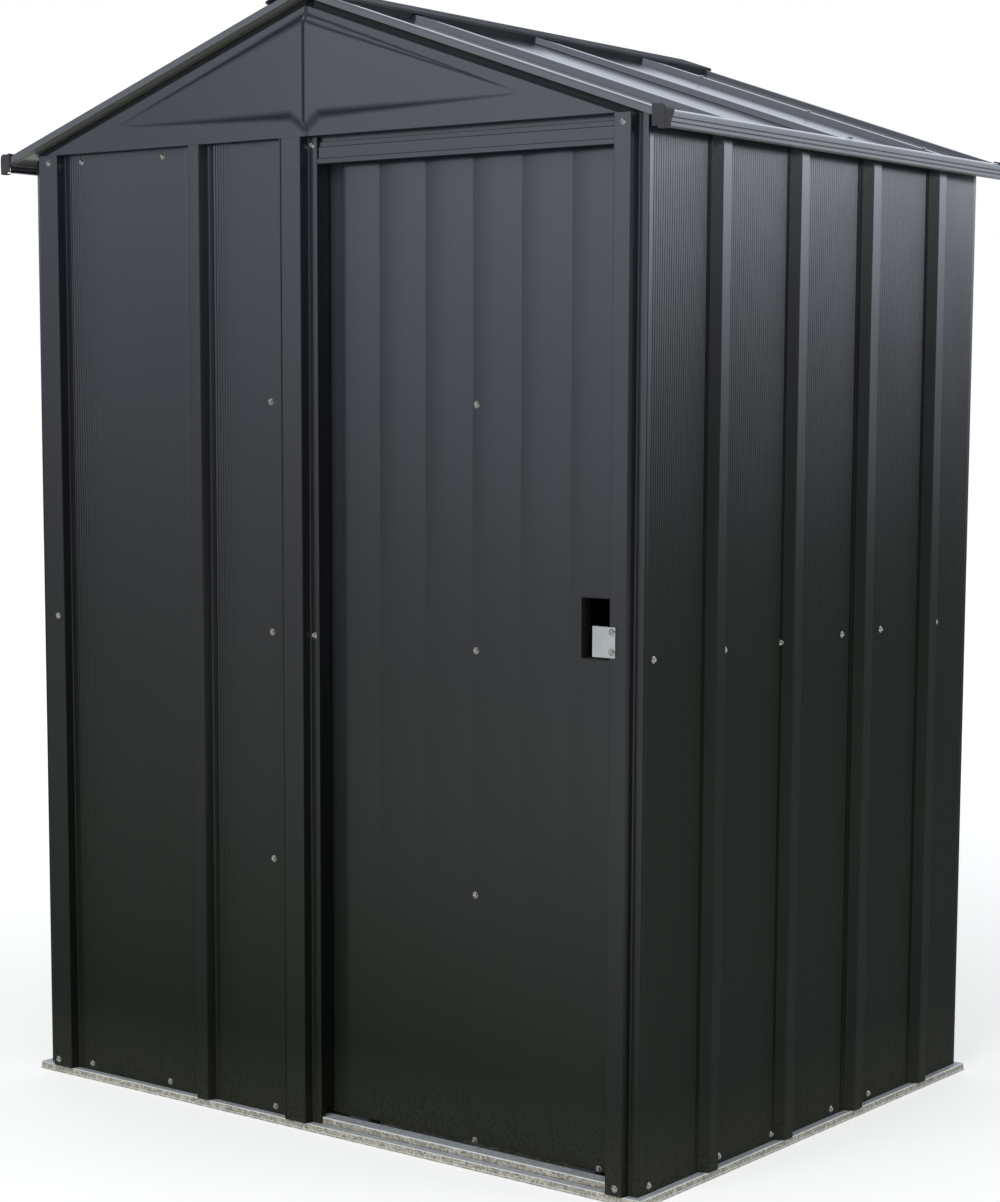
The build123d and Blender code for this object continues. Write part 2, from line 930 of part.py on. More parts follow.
# Door channels at head and foot, and the braces between them
door_inner_left = door_left + inner_face
door_inner_right = door_right - inner_face
door_inner = door_setback + inner_face
door_foot = folded(
    front_section.offset(door_inner_left),
    [
        (door_inner, door_bottom + door_channel),
        (door_inner, door_bottom),
        (door_back, door_bottom),
        (door_back, door_bottom + door_channel),
    ],
    door_inner_right - door_inner_left,
    side=Side.LEFT,
)
save(door_foot, "door_channel_bottom")
door_head = folded(
    front_section.offset(door_inner_left),
    [
        (door_inner, door_top - door_channel),
        (door_inner, door_top),
        (door_back, door_top),
        (door_back, door_top - door_channel),
    ],
    door_inner_right - door_inner_left,
)
save(door_head, "door_channel_top")
with BuildPart() as door_braces:
    for share in door_brace_shares:
        level = door_bottom + (door_top - door_bottom) * share
        low = level - door_brace_height / 2
        high = level + door_brace_height / 2
        beside_handle = low < handle_sill + handle_height and high > handle_sill
        end = handle_left - clearance if beside_handle else door_inner_right
        with BuildSketch(front_section.offset(door_inner_left)):
            with BuildLine():
                bends = [(door_back, low), (door_inner, low), (door_inner, high), (door_back, high)]
                Polyline(*bent_outline(bends, sheet, Side.RIGHT), close=True)
            make_face()
        extrude(amount=end - door_inner_left)
save(door_braces, "door_braces")

# Glides hang the door on the top rail, and shoes guide it in the track
glide_front = door_back + seat_gap
glide_low = shelf_height + sheet + running_gap
glide_seat = shelf_height + rail_lip + running_gap
glide_top = glide_seat + glide_rise
slot_front = lip_depth - running_gap
slot_back = lip_depth + sheet + running_gap
glide_back = slot_back + glide_hook
with BuildPart() as glides:
    for start in (door_left + glide_inset, door_right - glide_inset - glide_length):
        with BuildSketch(front_section.offset(start)):
            with BuildLine():
                Polyline(
                    (glide_front, door_top - door_channel),
                    (slot_front, door_top - door_channel),
                    (slot_front, glide_seat),
                    (slot_back, glide_seat),
                    (slot_back, glide_low),
                    (glide_back, glide_low),
                    (glide_back, glide_top),
                    (glide_front, glide_top),
                    close=True,
                )
            make_face()
        extrude(amount=glide_length)
save(glides, "door_glides")
shoe_low = track_floor + sheet + running_gap
with BuildPart() as shoes:
    for start in (door_left + glide_inset, door_right - glide_inset - shoe_length):
        with BuildSketch(front_section.offset(start)):
            with BuildLine():
                Polyline(
                    (track_front + sheet + running_gap, shoe_low),
                    (track_rear - sheet - running_gap, shoe_low),
                    (track_rear - sheet - running_gap, door_bottom - seat_gap),
                    (track_front + sheet + running_gap, door_bottom - seat_gap),
                    close=True,
                )
            make_face()
        extrude(amount=shoe_length)
save(shoes, "door_shoes")
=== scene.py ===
import json
from itertools import count
from math import atan2, cos, hypot, pi, radians, sin, tan
from types import SimpleNamespace

import bmesh
import bpy
import numpy as np
from bpy.props import FloatProperty, FloatVectorProperty, PointerProperty
from mathutils import Matrix, Vector


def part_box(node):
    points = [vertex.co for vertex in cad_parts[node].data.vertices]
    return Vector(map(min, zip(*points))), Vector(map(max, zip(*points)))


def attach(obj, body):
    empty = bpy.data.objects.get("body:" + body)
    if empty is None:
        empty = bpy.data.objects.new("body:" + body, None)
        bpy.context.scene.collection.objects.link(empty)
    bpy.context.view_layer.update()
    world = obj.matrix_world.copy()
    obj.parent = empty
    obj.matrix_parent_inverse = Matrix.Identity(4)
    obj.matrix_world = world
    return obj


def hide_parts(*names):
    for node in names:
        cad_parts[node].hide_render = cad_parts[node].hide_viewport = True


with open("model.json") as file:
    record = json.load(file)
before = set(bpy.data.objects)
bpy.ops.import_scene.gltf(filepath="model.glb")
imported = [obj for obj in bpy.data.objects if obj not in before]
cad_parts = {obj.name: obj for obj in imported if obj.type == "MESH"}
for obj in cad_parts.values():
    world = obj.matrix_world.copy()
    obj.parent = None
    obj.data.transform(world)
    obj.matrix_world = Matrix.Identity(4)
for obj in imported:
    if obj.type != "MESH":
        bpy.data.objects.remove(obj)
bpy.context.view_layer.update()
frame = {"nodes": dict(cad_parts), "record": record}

bl_info = {
    "name": "Metal tool shed",
    "version": (1, 0, 0),
    "blender": (4, 5, 0),
    "location": "View3D > Sidebar > Tool shed",
    "description": "Dresses a folded steel tool shed in reeded sheets, trims, fixings and paint",
    "category": "Object",
}

MIRROR_SIDES = (1, -1)
HANDS = tuple(zip(MIRROR_SIDES, ("right", "left")))
ENDS = tuple(zip(MIRROR_SIDES, ("front", "rear")))
DOOR_PLANKS = 6
TIGHT_FOLD = 0.7  # share of the fold radius
ROOF_RIB_SHARE = 0.6  # share of the roof's half depth
LONG_FLAT = 6  # reed pitches
MARK_ROOM = 0.004  # metres beside a mark
SHARP_ANGLE = radians(38)
SAME_PLACE = 1e-6
SAME_LEVEL = 1e-5


# Settings that a user would change


def length(name, description, default):
    """A length property in metres."""
    return FloatProperty(
        name=name, description=description, default=default, unit="LENGTH", precision=4
    )


def colour(name, description, default):
    """A linear colour property."""
    return FloatVectorProperty(
        name=name, description=description, default=default, size=3, subtype="COLOR", min=0, max=1
    )


def rotation(name, description, degrees):
    """An angle property, given in degrees."""
    default = radians(degrees)
    return FloatProperty(name=name, description=description, default=default, unit="ROTATION")


def power(name, description, default):
    """A power property in watts."""
    return FloatProperty(name=name, description=description, default=default, unit="POWER")


def share(name, description, default):
    """A plain factor property."""
    return FloatProperty(name=name, description=description, default=default, subtype="FACTOR")


class ShedSizes(bpy.types.PropertyGroup):
    """Sizes of the folds, reeds and fixings."""

    sheet: length("Sheet", "Thickness of the steel sheet", 0.0009)
    seat: length("Seat", "Gap between lapped sheets", 0.0002)
    fold: length("Fold radius", "Outer radius of a folded bend", 0.003)
    small_fold: length("Small fold radius", "Outer radius of a bend in narrow trim", 0.0012)
    reed_pitch: length("Reed pitch", "Distance from reed to reed on the wall flats", 0.0059)
    reed_height: length("Reed height", "How far a reed stands out of the flat", 0.00075)
    rib_height: length("Rib height", "How far a wall rib stands out", 0.016)
    rib_top: length("Rib top", "Width of a wall rib's flat top", 0.025)
    rib_run: length("Rib run", "Width of one flank of a wall rib", 0.007)
    side_pitch: length("Side rib pitch", "Distance between ribs on a side wall", 0.222)
    side_shift: length("Side rib shift", "How far back the side ribs sit from the middle", 0.017)
    rear_pitch: length("Rear rib pitch", "Distance between ribs on the rear wall", 0.222)
    lap_lip: length("Lap lip", "Flat beside a lapped rib", 0.014)
    tuck: length("Rear tuck", "Edge of the rear sheet tucked behind the corner return", 0.022)
    wave: length("Sheet wave", "Slight unevenness of the thin wall flats", 0.0007)
    column_height: length("Column height", "How far a front column stands out", 0.016)
    column_run: length("Column run", "Width of one flank of a front column", 0.004)
    column_lip: length("Column lip", "Flat lip beside the corner column", 0.012)
    jamb_lip: length("Jamb lip", "Flat lip left of the left jamb", 0.040)
    jamb_face: length("Jamb face", "Narrow face beside the doorway", 0.018)
    jamb_strip: length("Right jamb strip", "Raised strip right of the doorway", 0.029)
    door_margin: length("Door margin", "Flat edge strip of the door", 0.028)
    door_bow: length("Door bow", "How far a door plank bows out", 0.003)
    door_depth: length("Door depth", "Depth of the door's folded edges", 0.020)
    # Painted sheen: width of the paler door paint beside the left jamb.
    painted_sheen: length("Rubbed edge", "Width of the door paint rubbed beside the left jamb", 0.034)
    seam: length("Jamb seam", "Width of the fine seam along the left jamb", 0.0034)
    roof_rib_height: length("Roof rib height", "How far a roof rib stands up", 0.0084)
    roof_rib_top: length("Roof rib top", "Width of a roof rib's flat top", 0.020)
    roof_rib_run: length("Roof rib run", "Width of one flank of a roof rib", 0.006)
    rake_roll: length("Rake roll", "Radius of the rolled edge of the rake trim", 0.003)
    eave_roll: length("Eave roll", "Radius of the rolled head of the eave trim", 0.009)
    pad_height: length("Gable pad height", "How far the gable triangle is pressed out", 0.008)
    pad_bevel: length("Gable pad bevel", "Width of the pressed triangle's bevel", 0.013)
    gable_heel: length("Gable heel", "Height of the gable at its outer end", 0.005)
    gable_fall: length("Gable edge fall", "Height of the gable's bent-back upper edge", 0.016)
    gable_back: length("Gable edge back", "How far the gable's upper edge is bent back", 0.012)
    grip_rise: length("Handle rise", "How far the handle opening reaches above its solid", 0.004)
    grip_drop: length("Handle drop", "How far the handle opening reaches below its solid", 0.007)
    track_step: length("Track step", "Depth of the door track's front step behind the wall", 0.016)
    track_nose: length("Track nose", "Depth of the track's front edge behind the wall", 0.003)
    jamb_notch: length("Jamb notch", "Height of the notch the door track runs through", 0.024)
    head: length("Screw head", "Radius of a domed screw head", 0.0044)
    washer: length("Screw washer", "Radius of the washer under a screw", 0.0056)


class ShedFinish(bpy.types.PropertyGroup):
    """Colours of the paint, zinc, plastic and screws."""

    # Painted reflection: the wall paint runs bluish near the eaves for the reflected sky and greenish
    # near the ground for the reflected ground.
    paint_high: colour("Paint high", "Wall paint near the eaves", (0.016, 0.019, 0.029))
    paint_middle: colour("Paint middle", "Wall paint at half height", (0.0115, 0.0118, 0.0145))
    paint_low: colour("Paint low", "Wall paint near the ground", (0.011, 0.015, 0.0095))
    shade: colour("Fold shade", "Paint on the folds that look to the right", (0.003, 0.003, 0.0035))
    # Painted sheen: paler door paint beside the jamb, in place of a reflection.
    painted_sheen: colour("Rubbed paint", "Door paint rubbed pale beside the jamb", (0.050, 0.055, 0.068))
    trim: colour("Trim paint", "Paint of the roof trims", (0.050, 0.053, 0.064))
    # Dust near the ground, partly a painted reflection of the ground below.
    dust_and_reflection: colour("Dust", "Dust settled along the lower edge", (0.075, 0.072, 0.056))
    roof: colour("Roof paint", "Gloss paint of the roof sheets", (0.042, 0.045, 0.056))
    soffit: colour("Soffit", "Dull olive underside of the roof edge", (0.165, 0.170, 0.148))
    zinc_light: colour("Zinc light", "Bright crystals of the zinc coat", (0.74, 0.70, 0.59))
    zinc_dark: colour("Zinc dark", "Dull crystals of the zinc coat", (0.25, 0.235, 0.20))
    # Painted sky light on the level zinc faces.
    zinc_painted_skylight: colour("Zinc level", "Cool bloom on the level faces", (0.54, 0.60, 0.68))
    # Painted highlight on the zinc bends.
    zinc_painted_glint: colour("Zinc edge", "Rubbed bright bends", (0.95, 0.95, 0.93))
    plastic: colour("Plastic", "Moulded caps and runners", (0.115, 0.120, 0.130))
    grip: colour("Handle", "Dark sleeve of the door handle", (0.034, 0.031, 0.030))
    screw: colour("Screw", "Plated screw heads", (0.74, 0.72, 0.66))
    plate: colour("Hasp plate", "Bright zinc of the hasp", (0.52, 0.55, 0.55))
    gloss: share("Gloss", "Clear gloss of the wall paint near the eaves", 0.97)


class ShedStage(bpy.types.PropertyGroup):
    """Camera and light of the stage."""

    lens: FloatProperty(name="Lens", description="Focal length", default=75.92, unit="CAMERA")
    turn: rotation("Turn", "Camera's turn about the shed", 36.81)
    pitch: rotation("Pitch", "Camera's tilt downward", 6.77)
    roll: rotation("Roll", "Camera's roll", 0.38)
    eye: FloatVectorProperty(
        name="Eye",
        description="Camera's place",
        default=(2.774, -3.541, 1.206),
        subtype="XYZ",
        unit="LENGTH",
    )
    shift: FloatVectorProperty(
        name="Shift", description="Camera's lens shift", default=(-0.0507, 0.084), size=2
    )
    ambient: FloatProperty(name="Ambient", description="Strength of the even light", default=0.55)
    key: power("Key", "Power of the front light", 150.0)
    fill: power("Fill", "Power of the side light", 40.0)


# Shader expressions


class Shade:
    """One output of a material's nodes, used in plain arithmetic."""

    def __init__(self, tree, socket=None):
        self.tree = tree
        self.socket = socket

    def node(self, kind, settings=None, values=None, out=0):
        """Add a node: its settings first, then the values or links of its sockets."""
        made = self.tree.nodes.new(kind)
        for key, value in (settings or {}).items():
            if key == "stops":
                stops = made.color_ramp.elements
                while len(stops) < len(value):
                    stops.new(1.0)
                for stop, (place, tone) in zip(stops, value):
                    stop.position = place
                    stop.color = tone
            else:
                setattr(made, key, value)
        for key, value in (values or {}).items():
            self.feed(made.inputs[key], value)
        return Shade(self.tree, made.outputs[out])

    def feed(self, target, value):
        """Link a shader value to a socket, or set a plain one on it."""
        if isinstance(value, Shade):
            self.tree.links.new(value.socket, target)
        else:
            target.default_value = value

    def sum(self, operation, first, second, clamp=False):
        """One Math node."""
        settings = {"operation": operation, "use_clamp": clamp}
        return self.node("ShaderNodeMath", settings, {0: first, 1: second})

    def __add__(self, other):
        return self.sum("ADD", self, other)

    __radd__ = __add__

    def __sub__(self, other):
        return self.sum("SUBTRACT", self, other)

    def __rsub__(self, other):
        return self.sum("SUBTRACT", other, self)

    def __mul__(self, other):
        return self.sum("MULTIPLY", self, other)

    __rmul__ = __mul__

    def __truediv__(self, other):
        return self.sum("DIVIDE", self, other)

    def clamp(self):
        """Hold a value between nought and one."""
        return self.sum("MULTIPLY", self, 1.0, clamp=True)

    def spot(self):
        """The place on the object."""
        return self.node("ShaderNodeTexCoord", out="Object")

    def facing(self):
        """The way the surface looks."""
        return self.node("ShaderNodeNewGeometry", out="Normal")

    def part(self, vector, axis):
        """One axis of a vector."""
        return self.node("ShaderNodeSeparateXYZ", values={"Vector": vector}, out=axis)

    def noise(self, spot, scale, detail):
        """Cloudy noise at a place."""
        values = {"Vector": spot, "Scale": scale, "Detail": detail, "Roughness": 0.5}
        return self.node("ShaderNodeTexNoise", values=values)

    def stretch(self, spot, factors):
        """Scale a place along its axes."""
        return self.node("ShaderNodeVectorMath", {"operation": "MULTIPLY"}, {0: spot, 1: factors})

    def mix(self, fac, first, second):
        """Mix two colours."""
        settings = {"data_type": "RGBA", "blend_type": "MIX"}
        return self.node("ShaderNodeMix", settings, {0: fac, 6: first, 7: second}, out=2)

    def bump(self, height, strength, distance):
        """Turn a height into a normal."""
        values = {"Height": height, "Strength": strength, "Distance": distance}
        return self.node("ShaderNodeBump", values=values)


def tones():
    """The finish settings, each colour with its alpha."""
    look = bpy.context.scene.shed_finish
    colours = [name for name in ShedFinish.__annotations__ if name != "gloss"]
    return SimpleNamespace(gloss=look.gloss, **{name: (*getattr(look, name), 1.0) for name in colours})


def finish(name, inputs):
    """Make a material from a function that gives the shader's sockets."""
    made = bpy.data.materials.get(name)
    if made is None:
        made = bpy.data.materials.new(name)
        made.use_nodes = True
        shader = made.node_tree.nodes["Principled BSDF"]
        start = Shade(made.node_tree)
        for key, value in inputs(start, start.spot()).items():
            start.feed(shader.inputs[key], value)
    return made


def paint_finish(
    name="satin_paint",
    full=1.92,
    fade=1.75,
    index=2.35,
    lean=0.24,
    eave=9.0,
    turn=0.0,
    fold=0.6,
    edge=-9.0,
):
    """Satin wall paint: glossy under the eaves, its gloss and colour fading towards the ground.

    The gloss is whole at the height full, fades by the power fade, leans to the right and ends at
    the eave. The colours shift by turn, folds that look right get painted shade by fold, and a
    painted sheen lies left of the edge. The index is that of the clear coat. The colour ramp and
    the gloss fading low down are painted reflection of the sky above and the dark ground below.
    """
    look = tones()
    dust_and_reflection_top = 0.15
    sharp_edge = 55.0

    def inputs(start, spot):
        height, across = start.part(spot, "Z"), start.part(spot, "X")
        facing = start.facing()
        rise, turned = start.part(facing, "Z"), start.part(facing, "X")
        cloud = start.noise(spot, 2.3, 3.0)
        level = (height + (cloud - 0.5) * 0.16 + (across + 0.35).clamp() * lean) / full
        # Painted reflection: the colour ramps from greenish low down to bluish high up and lightens to
        # the right, for reflected ground and sky.
        stops = ((0.25, look.paint_low), (0.55, look.paint_middle), (0.9, look.paint_high))
        tone = start.node("ShaderNodeValToRGB", {"stops": stops}, {0: level - turn})
        streak = start.noise(start.stretch(spot, (30.0, 30.0, 1.6)), 2.0, 3.0)
        tone = start.mix((streak - 0.42) * 0.5, tone, look.paint_middle)
        # Dust near the ground, partly painted reflection: paler speckled paint low down.
        speck = start.noise(spot, 210.0, 2.0)
        low = ((dust_and_reflection_top - height) * 7.0).clamp()
        dust_and_reflection = (low * (speck - 0.22) * 0.9).clamp()
        tone = start.mix(dust_and_reflection, tone, look.dust_and_reflection)
        tone = start.mix((turned * 4.0 - 2.8).clamp() * fold, tone, look.shade)
        # Painted shade: the gloss fades towards the ground and is dulled on faces that look down, for
        # the dark ground's reflection.
        gloss = start.sum("POWER", level.clamp(), fade) * (rise * 1.8 + 1.0).clamp()
        # Painted sheen: paler paint left of the edge, in place of a reflection on the door.
        tone = start.mix(((edge - across) * sharp_edge).clamp() * gloss, tone, look.painted_sheen)
        # Painted shadow: no gloss above the eave leaves a dark band under it.
        clear_of_eave_shadow = ((eave - height) * sharp_edge).clamp()
        return {
            "Base Color": tone,
            "Roughness": 0.45 + cloud * 0.10 + dust_and_reflection * 0.3,
            "Coat Weight": gloss * clear_of_eave_shadow * look.gloss + 0.03,
            "Specular IOR Level": 0.06,
            "Coat Roughness": 0.18,
            "Coat IOR": index,
        }

    return finish(name, inputs)


def side_finish():
    """A copy of the paint with painted shade for the sides and rear: greener, glossy only under the
    eaves.
    """
    # Painted shadow band under the eave, bare of gloss.
    eave_shadow_band = 0.012
    eave = places().side_high - eave_shadow_band
    return paint_finish(
        "satin_paint_sides", full=1.62, fade=6.3, index=4.6, lean=0.0, eave=eave, turn=0.24, fold=0.0
    )


def underside(start):
    """How far a face looks down."""
    return ((-0.35 - start.part(start.facing(), "Z")) * 4.0).clamp()


def trim_finish():
    """Satin paint of the roof trims, a shade lighter than the walls."""
    look = tones()

    def inputs(start, spot):
        cloud = start.noise(spot, 9.0, 4.0)
        run = start.noise(start.stretch(spot, (6.0, 6.0, 60.0)), 2.0, 3.0)
        tone = start.mix((cloud + run - 0.7) * 0.5, look.trim, look.paint_high)
        under = underside(start)
        return {
            "Base Color": start.mix(under, tone, look.soffit),
            "Roughness": 0.30 + run * 0.14,
            "Coat Weight": 1.0 - under,
            "Coat Roughness": 0.10,
            "Coat IOR": 2.4,
        }

    return finish("trim_paint", inputs)


def roof_finish():
    """Roof paint with a hard, wet-looking gloss and a dull underside."""
    look = tones()

    def inputs(start, spot):
        cloud = start.noise(spot, 3.1, 4.0)
        run = start.noise(start.stretch(spot, (1.2, 26.0, 1.2)), 2.0, 3.0)
        tone = start.mix(cloud * 0.6, look.roof, look.paint_high)
        return {
            "Base Color": start.mix(underside(start), tone, look.soffit),
            "Roughness": 0.09 + run * 0.07,
            "IOR": 2.0,
        }

    return finish("roof_paint", inputs)


def zinc_finish():
    """Hot-dip zinc: speckled crystals, painted sky light on level faces, painted glint on bends."""
    look = tones()

    def inputs(start, spot):
        rise = start.part(start.facing(), "Z")
        cell = {"Vector": spot, "Scale": 230.0}
        cells = start.node("ShaderNodeTexVoronoi", values=cell, out="Color")
        crystal = start.node("ShaderNodeSeparateColor", values={"Color": cells})
        cloud = start.noise(spot, 14.0, 4.0)
        speck = start.noise(spot, 330.0, 2.0)
        bright = (crystal * 0.9 + speck * 1.3 - 0.62).clamp()
        tone = start.mix(bright, look.zinc_dark, look.zinc_light)
        # Painted sky light: paler, cooler zinc on faces that look up.
        tone = start.mix((rise * 1.6 - 0.8).clamp() * 0.85, tone, look.zinc_painted_skylight)
        # Painted highlight: bright zinc on the bends between level and upright faces.
        edge = ((rise - 0.12) * 6.0).clamp() * ((0.94 - rise) * 6.0).clamp()
        tone = start.mix(edge * 0.9, tone, look.zinc_painted_glint)
        dirt = ((cloud + speck - 1.10) * 3.0).clamp() * 0.3
        return {
            "Base Color": start.mix(dirt, tone, look.dust_and_reflection),
            "Roughness": 0.40 + crystal * 0.22,
            "Metallic": 0.10 + cloud * 0.2,
            "Normal": start.bump(crystal + speck * 0.4, 0.10, 0.0005),
        }

    return finish("spangled_zinc", inputs)


def plate_finish():
    """Smooth bright zinc of the hasp, a little scuffed."""
    look = tones()

    def inputs(start, spot):
        cloud = start.noise(spot, 45.0, 3.0)
        scuff = start.noise(start.stretch(spot, (220.0, 220.0, 40.0)), 2.0, 2.0)
        return {
            "Base Color": start.mix((cloud - 0.3) * 0.5, look.plate, look.zinc_dark),
            "Roughness": 0.30 + scuff * 0.2,
            "Metallic": 0.3,
        }

    return finish("hasp_zinc", inputs)


def cloudy_finish(name, first, second, cloud_size, blend, rough, plain, grain=0.0):
    """A finish that clouds from one colour to another.

    The size is the noise's scale and detail. The blend and the roughness are each given as two
    numbers, one that follows the cloud. Plain values are set on other sockets.
    """
    look = tones()

    def inputs(start, spot):
        cloud = start.noise(spot, *cloud_size)
        fac = cloud * blend[0] + blend[1]
        sockets = {
            "Base Color": start.mix(fac, getattr(look, first), getattr(look, second)),
            "Roughness": rough[0] + cloud * rough[1],
            **plain,
        }
        if grain:
            sockets["Normal"] = start.bump(start.noise(spot, 900.0, 2.0), grain, 0.0004)
        return sockets

    return finish(name, inputs)


def plastic_finish(name="moulded_plastic", tone="plastic"):
    """Moulded dark plastic with a fine spark-eroded grain."""
    satin = {"Specular IOR Level": 0.4}
    return cloudy_finish(
        name, tone, "paint_high", (40.0, 3.0), (0.5, 0.0), (0.46, 0.12), satin, grain=0.25
    )


def ridge_finish():
    """Dull weathered paint of the ridge cap."""
    dull = {"Specular IOR Level": 0.08}
    return cloudy_finish(
        "ridge_paint", "plastic", "paint_high", (11.0, 4.0), (0.5, 0.2), (0.62, 0.15), dull
    )


def screw_finish():
    """Bright plated steel with duller clouds."""
    metal = {"Metallic": 1.0}
    return cloudy_finish(
        "plated_screws", "screw", "zinc_dark", (160.0, 3.0), (0.6, 0.0), (0.16, 0.12), metal
    )


# Folded lines and sheets


def shifted(points, reach):
    """The line beside a folded line, at a distance to the left of its run."""
    points = [Vector(point) for point in points]
    runs = [(end - start).normalized() for start, end in zip(points, points[1:])]
    beside = []
    for point, before, after in zip(points, runs[:1] + runs, runs + runs[-1:]):
        both = before + after
        beside.append(tuple(point + Vector((-both.y, both.x)) * (2 * reach / both.dot(both))))
    return beside


def rounded(points, radius, steps=4, most=0.48, lead=0.02):
    """A folded line with its bends rounded; radius may differ from bend to bend.

    A bend takes up no more than a share of the straights beside it, and a point leads into it.
    """
    radii = [radius] * (len(points) - 2) if isinstance(radius, float) else radius
    points = [Vector(point) for point in points]
    line = [points[0]]
    for before, bend, after, size in zip(points, points[1:], points[2:], radii):
        back, ahead = before - bend, after - bend
        turn = pi - back.angle(ahead)
        reach = min(size * tan(turn / 2), most * back.length, most * ahead.length)
        start = bend + back.normalized() * reach
        end = bend + ahead.normalized() * reach
        line.append(start.lerp(before, lead))
        for step in range(steps + 1):
            part = step / steps
            line.append(start.lerp(bend, part).lerp(bend.lerp(end, part), part))
        line.append(end.lerp(after, lead))
    line.append(points[-1])
    kept = [line[0]]
    for point in line[1:]:
        if (point - kept[-1]).length > SAME_PLACE:
            kept.append(point)
    return [tuple(point) for point in kept]


def reeded(line, level, pitch, height, parts=6):
    """Press fine reeds into the long flats that lie at one level."""
    made = [line[0]]
    for start, end in zip(line, line[1:]):
        run = end[0] - start[0]
        flat = abs(start[1] - level) < SAME_LEVEL and abs(end[1] - level) < SAME_LEVEL
        if flat and run > LONG_FLAT * pitch:
            reeds = int(run / pitch) - 1
            margin = (run - reeds * pitch) / 2
            for step in range(reeds * parts + 1):
                rise = height * (0.5 - 0.5 * cos(2 * pi * step / parts))
                made.append((start[0] + margin + step * pitch / parts, level - rise))
        made.append(end)
    return made


def ribs(centres, height, top, run, lift=0.0):
    """Bend points of outward ribs, widened to nest over another sheet by its lift."""
    widen = lift * tan(atan2(abs(height), run) / 2)
    out = 1 if height > 0 else -1
    half_top = top / 2 + widen
    half_foot = half_top + run
    bends = []
    for centre in centres:
        bends += [
            (centre - half_foot, out * lift),
            (centre - half_top, height + out * lift),
            (centre + half_top, height + out * lift),
            (centre + half_foot, out * lift),
        ]
    return bends


def sheet_shell(line, lengths, place, thickness, cut=None):
    """Skin both sides of a folded line run through its lengths, and close each open edge."""
    line = np.array(line, float)
    lengths = np.array(lengths, float)
    run = np.gradient(line, axis=0)
    run /= np.linalg.norm(run, axis=1)[:, None]
    beside = np.stack([-run[:, 1], run[:, 0]], axis=1)
    rows, columns = len(line), len(lengths)
    points = []
    for skin in (line, line + beside * thickness):
        across = np.repeat(skin[:, 0], columns)
        depth = np.repeat(skin[:, 1], columns)
        points.append(np.stack(place(across, depth, np.tile(lengths, rows)), axis=1))
    keep = np.ones((rows - 1, columns - 1), bool)
    if cut is not None:
        middle = (line[1:] + line[:-1]) / 2
        along = (lengths[1:] + lengths[:-1]) / 2
        keep = ~cut(middle[:, :1], middle[:, 1:], along[None, :])
    index = np.arange(rows * columns).reshape(rows, columns)
    skin = np.stack([index[:-1, :-1], index[1:, :-1], index[1:, 1:], index[:-1, 1:]], axis=-1)[keep]
    behind = rows * columns
    faces = [skin, skin[:, ::-1] + behind]
    framed = np.pad(keep, 1)
    across_edge = np.argwhere(framed[:-1, 1:-1] != framed[1:, 1:-1])
    along_edge = np.argwhere(framed[1:-1, :-1] != framed[1:-1, 1:])
    for edge, step in ((across_edge, (0, 1)), (along_edge, (1, 0))):
        start = index[edge[:, 0], edge[:, 1]]
        end = index[edge[:, 0] + step[0], edge[:, 1] + step[1]]
        faces.append(np.stack([start, end, end + behind, start + behind], axis=1))
    return np.concatenate(points), np.concatenate(faces)


def settle(name, mesh, material, body, nodes, sharp=SHARP_ANGLE):
    """Make a mesh an object that rides a body and stands for its frame nodes."""
    mesh.shade_smooth()
    mesh.set_sharp_from_angle(angle=sharp)
    mesh.materials.append(material)
    made = bpy.data.objects.new(name, mesh)
    bpy.context.scene.collection.objects.link(made)
    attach(made, body)
    if nodes:
        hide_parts(*nodes)


def piece(name, shells, material, nodes=(), body="shed", sharp=SHARP_ANGLE):
    """Join shells into one object."""
    points, faces = [], []
    for shell_points, shell_faces in shells:
        before = len(points)
        points += [tuple(point) for point in shell_points]
        faces += [tuple(int(corner) + before for corner in face) for face in shell_faces]
    mesh = bpy.data.meshes.new(name)
    mesh.from_pydata(points, [], faces)
    work = bmesh.new()
    work.from_mesh(mesh)
    loose = [vert for vert in work.verts if not vert.link_faces]
    bmesh.ops.delete(work, geom=loose, context="VERTS")
    bmesh.ops.recalc_face_normals(work, faces=work.faces)
    work.to_mesh(mesh)
    work.free()
    settle(name, mesh, material, body, nodes, sharp)


def steps(low, high, number, *marks):
    """Even steps between two places; marks are added, and a step too close to one is dropped."""
    even = np.linspace(low, high, number + 1)
    kept = [place for place in even if all(abs(place - mark) > MARK_ROOM for mark in marks)]
    return sorted(kept + list(marks))


def places():
    """Wall planes and roof places, worked out from the frame."""
    size = bpy.context.scene.shed_sizes
    side_low, side_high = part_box("wall_right_front")
    front_low, front_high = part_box("wall_front")
    gable_low, gable_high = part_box("gable_front_right")
    fall = (gable_high.z - gable_low.z - size.gable_heel) / gable_high.x
    return SimpleNamespace(
        half_width=side_high.x - size.rib_height,
        half_depth=-side_low.y,
        wall_low=front_low.z,
        wall_high=front_high.z,
        side_high=side_high.z,
        fall=fall,
        angle=atan2(fall, 1),
    )


def front_place(half_depth):
    """Place for a sheet of the front: across is x, depth runs into the shed."""
    return lambda across, depth, along: (across, depth - half_depth, along)


def front_along(half_depth):
    """Place for a section run along the front: across runs into the shed, depth is the height."""
    return lambda across, depth, along: (along, across - half_depth, depth)


def mirrored(place, side=1, face=1):
    """The same place on the other side, where side is -1, or at the other end, where face is -1."""

    def put(across, depth, along):
        x, y, z = place(across, depth, along)
        return side * x, face * y, z

    return put


